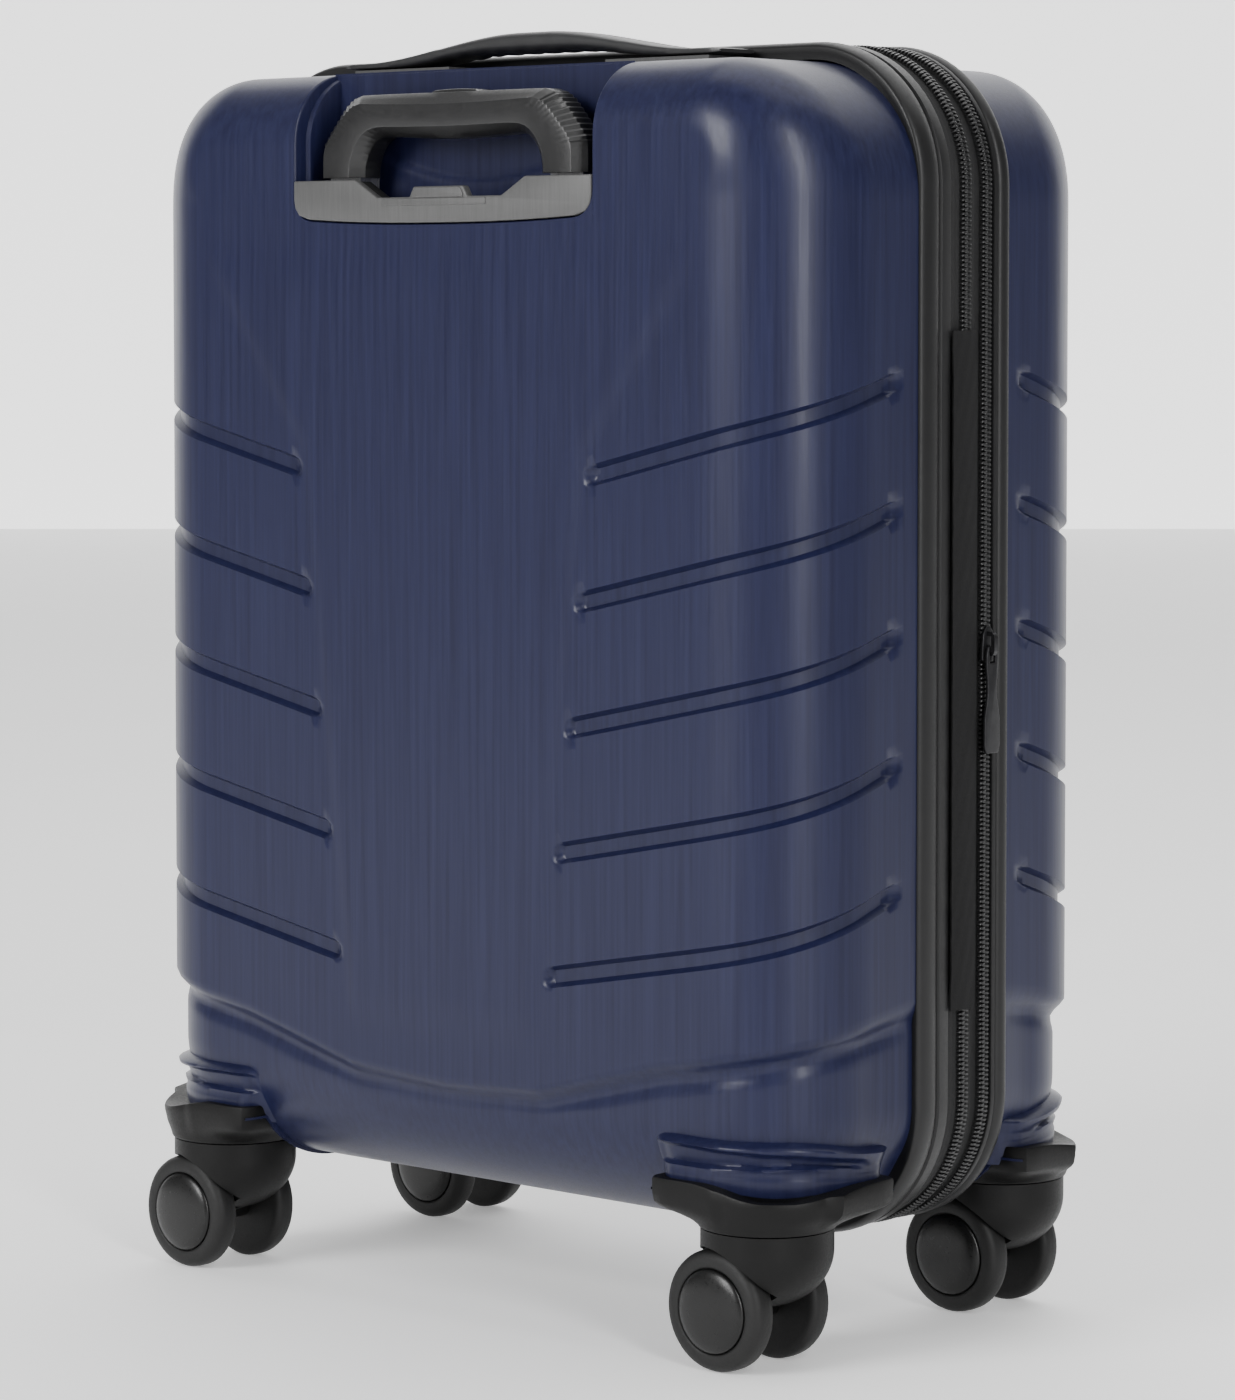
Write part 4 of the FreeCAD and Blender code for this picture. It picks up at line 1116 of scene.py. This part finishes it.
def under_surface(x, y):
    """Height of the shell's underside near a wheel well."""
    def rise(value, flat, radius):
        reach = min(max(abs(value) - flat, 0), radius)
        return SHELL_BOTTOM + radius - sqrt(radius ** 2 - reach ** 2)

    return min(73, 3.5 + max(rise(x, FLAT_HALF, CORNER), rise(y, SHELL_DEPTH - BOTTOM_EDGE, BOTTOM_EDGE)))


def skin_distance(tree, start, aim, otherwise):
    """How far it is from a point to the skin, in millimetres."""
    start = Vector(start) * MM
    hit = tree.ray_cast(start, aim)[0]
    return (hit - start).length / MM if hit else otherwise


# An arch's cross-section: (height, how far it stands out), before its valley is pressed in
ARCH_FOOT = [(70.5, 5.8), (73, 6.9), (76, 7.7), (79, 8.1), (81, 8.1), (82.6, 7.6), (84, 7.9), (84.8, 7.9)]
ARCH_HEIGHTS = [height for height, out in ARCH_FOOT] + [
    85.6, 86.4, 87.4, 88.4, 89.4, 90.4, 91.2, 92, 92.8, 93.6, 94.6, 95.8, 97, 98]
ARCH_START, ARCH_END = -14, 106      # degrees
VALLEY_HEIGHT, VALLEY_DEEP = 88.6, 3.3
SKIN_LOW = 84                        # below this the shell curves in under the arch


def arch_relief(turn, h):
    """How far the arch stands out of the skin, before its ends run out."""
    if h <= ARCH_FOOT[-1][0]:
        out = float(np.interp(h, [a for a, b in ARCH_FOOT], [b for a, b in ARCH_FOOT]))
    else:
        out = 7.9 * (1 - blend_in(h, 93.4, 98.0)) - 0.4 * blend_in(h, 96, 98)
    half = 0.8 + 2.4 * blend_in(turn, 12, 84)
    valley = 1 - blend_in(abs(h - VALLEY_HEIGHT), half, half + 1.6)
    valley *= float(window(turn, 8, 20, 92, 98))
    return out - VALLEY_DEEP * valley


def make_arch(corner, shell_tree):
    """The shell's swelling over a wheel, with a long teardrop pressed between two ridges."""
    sx, sy = SWIVELS[corner]
    points = []
    turns = np.linspace(ARCH_START, ARCH_END, 110)
    for turn in turns:
        angle = radians(turn)
        aim = Vector((sx * cos(angle), sy * sin(angle), 0))
        ends = float(window(turn, ARCH_START, 4, 86, 105))
        drop = 5.5 * (1 - blend_in(turn, 0, 40)) + 7.0 * blend_in(turn, 90, ARCH_END) ** 2
        for h in ARCH_HEIGHTS:
            tall = h - (h - 70.5) / 27.5 * drop
            high_reach = skin_distance(shell_tree, (sx * ARCH_X, sy * ARCH_Y, max(tall, SKIN_LOW)), aim, 60)
            low_reach = skin_distance(shell_tree, (sx * ARCH_X, sy * ARCH_Y, tall), aim, high_reach)
            reach = low_reach + (min(high_reach, low_reach + 25) - low_reach) * ends
            spot = reach + arch_relief(turn, h) * ends - 1.2 * (1 - ends)
            points.append((sx * (ARCH_X + spot * cos(angle)), sy * (ARCH_Y + spot * sin(angle)), tall))
    arch = solid("arch_" + corner, points, quads(len(turns), len(ARCH_HEIGHTS)), SHELL, 60, outward=False)
    middle = arch.data.polygons[len(arch.data.polygons) // 2]
    if middle.normal.x * sx + middle.normal.y * sy < 0:
        arch.data.flip_normals()
    placed(arch, half_body(sy > 0), None)


def well_walls(corner):
    """The inner walls of a wheel well, on the two sides that face the middle of the case."""
    count = 41
    points = []
    for grow, top in ((-1.4, False), (-1.4, True), (0.2, True), (0.2, False)):
        for k in range(count):
            turn = radians(142 + 176 * k / (count - 1))
            x, y, z = around(corner, turn, well_reach(turn, grow), 74.0)
            points.append((x, y, z if top else under_surface(x, y)))
    walls = solid("walls_" + corner, points, quads(4, count, True, False), SHELL, 40)
    placed(walls, half_body(SWIVELS[corner][1] > 0), None)


for shell, half in ((back_shell, "back"), (front_shell, "front")):
    corners = [half + "_left", half + "_right"]
    tree = BVHTree.FromObject(shell, bpy.context.evaluated_depsgraph_get())
    for corner in corners:
        make_arch(corner, tree)
    carve([shell], [well_cutter(corner) for corner in corners], 50)

# Profiles as (radius, distance from the wheel pair's middle)
TYRE_PROFILE = [
    (4, 12.7), (12, 12.7), (19.5, 12.7), (21.5, 12.6), (23.2, 12.8), (24.5, 13.5), (25.2, 14.6),
    (25.3, 16.4), (25.3, 18.4), (25.1, 20.4), (24.5, 21.9), (23.4, 23.0), (21.9, 23.6), (20.4, 23.8),
    (18.6, 23.8), (17.9, 23.5), (17.6, 22.6), (4, 22.4)]
CAP_PROFILE = [
    (4, 22.0), (17.3, 22.0), (17.5, 23.0), (17.3, 23.7), (16.9, 24.2), (15.6, 24.9), (13.4, 25.5),
    (10.5, 26.0), (7, 26.35), (3.5, 26.55), (0.3, 26.6)]
AXLE_OFFSET, WHEEL_RADIUS = 10, 25.3


def make_wheel(corner, name, side):
    """One of a caster's two wheels: a tyre and its hub cap."""
    sx, sy = SWIVELS[corner]
    centre = (sx * SWIVEL_X + AXLE_OFFSET, sy * SWIVEL_Y, WHEEL_RADIUS)
    body = "caster_%s_wheel_%s" % (corner, name)
    for kind, profile, finish in (("tyre", TYRE_PROFILE, TYRE), ("cap", CAP_PROFILE, HUB)):
        turned = [(radius, side * y) for radius, y in profile]
        piece = lathe("%s_%s_%s" % (kind, corner, name), turned, centre, finish, 50)
        placed(piece, body, body)


for corner in SWIVELS:
    make_housing(corner)
    well_walls(corner)
    make_wheel(corner, "outer", 1)
    make_wheel(corner, "inner", -1)

# ---- parts shown as they were designed

NODE_FINISHES = (
    (LINING, ("back_lining", "front_lining", "divider_panel")),
    (WEBBING, ("packing_straps",)),
    (TAPE, ("zip_tape_band",)),
    (BEZEL, ("handle_brackets",)),
    (TUBE, ("trolley_outer_tubes", "trolley_middle_tubes", "trolley_inner_tubes")),
    (DARK, ("trolley_foot",)),
    (STEEL, ("release_rods", "caster_screws_back", "caster_screws_front")),
    (CASTER, ["caster_%s_fork" % corner for corner in SWIVELS]),
    (STEEL, ["caster_%s_axle" % corner for corner in SWIVELS]),
)
for finish, names in NODE_FINISHES:
    for name in names:
        mesh = bpy.data.objects[name].data
        mesh.materials.clear()
        mesh.materials.append(finish)


def make_buckle():
    """A side release buckle: a ribbed case with two prongs held in its windows."""
    low, high = node_mm("strap_buckle")
    z = (low.z + high.z) / 2
    shape = [(-21.5, z - 14), (-17, z - 18.6), (17, z - 18.6), (21.5, z - 14),
             (21.5, z + 14), (17, z + 18.6), (-17, z + 18.6), (-21.5, z + 14)]
    parts = [prism("buckle_case", rounded(shape, 2), "xz", low.y + 0.8, high.y - 0.2, DARK, 1.6, 4)]
    for side in (-1, 1):
        prong = [(side * 12, z - 11), (side * 20.5, z - 8), (side * 20.5, z + 8), (side * 12, z + 11)]
        parts.append(prism("prong", rounded(prong, 2), "xz", low.y + 0.1, low.y + 1.6, DARK, 0.5))
    for i in range(-2, 3):
        rib = rounded(oblong(-6, 6, z + 4 * i - 0.8, z + 4 * i + 0.8), 0.7)
        parts.append(prism("rib", rib, "xz", low.y + 0.2, low.y + 1.6, DARK, 0.3))
    placed(joined("buckle_piece", parts), "back_half", "strap_buckle")


def make_piping():
    """The stitched edge and the zip line of the divider."""
    low, high = node_mm("divider_panel")
    face = high.y
    size = (high.x - 5, low.z + 5, high.z - 5, 46)
    cord = [(1.3 * cos(t), face + 0.2 + 1.1 * sin(t)) for t in np.linspace(0, 2 * pi, 9)[:-1]]
    placed(rim_sweep("divider_piping", cord, WEBBING, size), "front_half", None)
    size = (high.x - 22, low.z + 22, high.z - 22, 34)
    line = [(-3.2, face + 0.05), (-0.6, face + 0.5), (0, face + 0.9), (0.6, face + 0.5), (3.2, face + 0.05),
            (3.2, face - 0.2), (-3.2, face - 0.2)]
    placed(rim_sweep("divider_zip", line, TAPE, size), "front_half", None)


make_buckle()
make_piping()

# ---- floor, lights, camera

EYE = Vector((-1.39086, 1.535757, 0.435414))
YAW, PITCH = radians(42.0604), radians(3.12672)


def area_light(name, place, target, size, power):
    data = bpy.data.lights.new(name, "AREA")
    data.shape = "RECTANGLE"
    data.size, data.size_y = size
    data.energy = power
    lamp = bpy.data.objects.new(name, data)
    lamp.location = place
    lamp.rotation_euler = (Vector(target) - Vector(place)).to_track_quat("-Z", "Y").to_euler()
    bpy.context.scene.collection.objects.link(lamp)


def flat_panel(name, corners, material):
    mesh = bpy.data.meshes.new(name)
    mesh.from_pydata(corners, [], [(0, 1, 2, 3)])
    return new_object(name, mesh, material)


def make_floor():
    paint = surface("floor_paint", (246, 246, 246), (250, 250, 250), (0.7, 0.8), grain=2, bump=0.0,
                    emission_color=(1, 1, 1, 1), emission_strength=0.3)
    floor = flat_panel("floor", [(x, y, 0) for x, y in oblong(-30, 30, -30, 30)], paint)


def make_backdrop():
    """A pale glowing wall on the far side of the case."""
    glow = bpy.data.materials.new("backdrop_glow")
    glow.use_nodes = True
    shader = glow.node_tree.nodes["Principled BSDF"]
    shader.inputs["Base Color"].default_value = (0.9, 0.9, 0.9, 1)
    shader.inputs["Emission Color"].default_value = (1, 1, 1, 1)
    shader.inputs["Emission Strength"].default_value = 1.5
    away = Vector((sin(YAW), -cos(YAW), 0))
    right = Vector((-cos(YAW), -sin(YAW), 0))
    corners = []
    for side, up in oblong(-9, 9, -0.01, 7):
        spot = away * 7 + right * side
        corners.append((spot.x, spot.y, up))
    flat_panel("backdrop", corners, glow)


def make_lights():
    world = bpy.data.worlds.new("studio")
    world.use_nodes = True
    world.node_tree.nodes["Background"].inputs["Color"].default_value = (1, 1, 1, 1)
    world.node_tree.nodes["Background"].inputs["Strength"].default_value = 0.28
    bpy.context.scene.world = world
    area_light("top", (0, -1.0, 3.2), (0, 0, 0), (3.5, 3.5), 80)
    area_light("key", (-2.0, 1.0, 1.1), (-0.1, 0, 0.35), (0.35, 1.7), 34)
    area_light("fill", (0.5, 3.0, 1.5), (0, 0, 0.35), (1.4, 1.4), 95)


def make_camera():
    data = bpy.data.cameras.new("camera")
    data.lens = 121.12
    data.shift_y = -0.1
    data.clip_end = 100
    camera = bpy.data.objects.new("camera", data)
    ahead = Vector((sin(YAW) * cos(PITCH), -cos(YAW) * cos(PITCH), -sin(PITCH)))
    camera.location = EYE
    camera.rotation_euler = ahead.to_track_quat("-Z", "Y").to_euler()
    bpy.context.scene.collection.objects.link(camera)
    bpy.context.scene.camera = camera


make_floor()
make_backdrop()
make_lights()
make_camera()
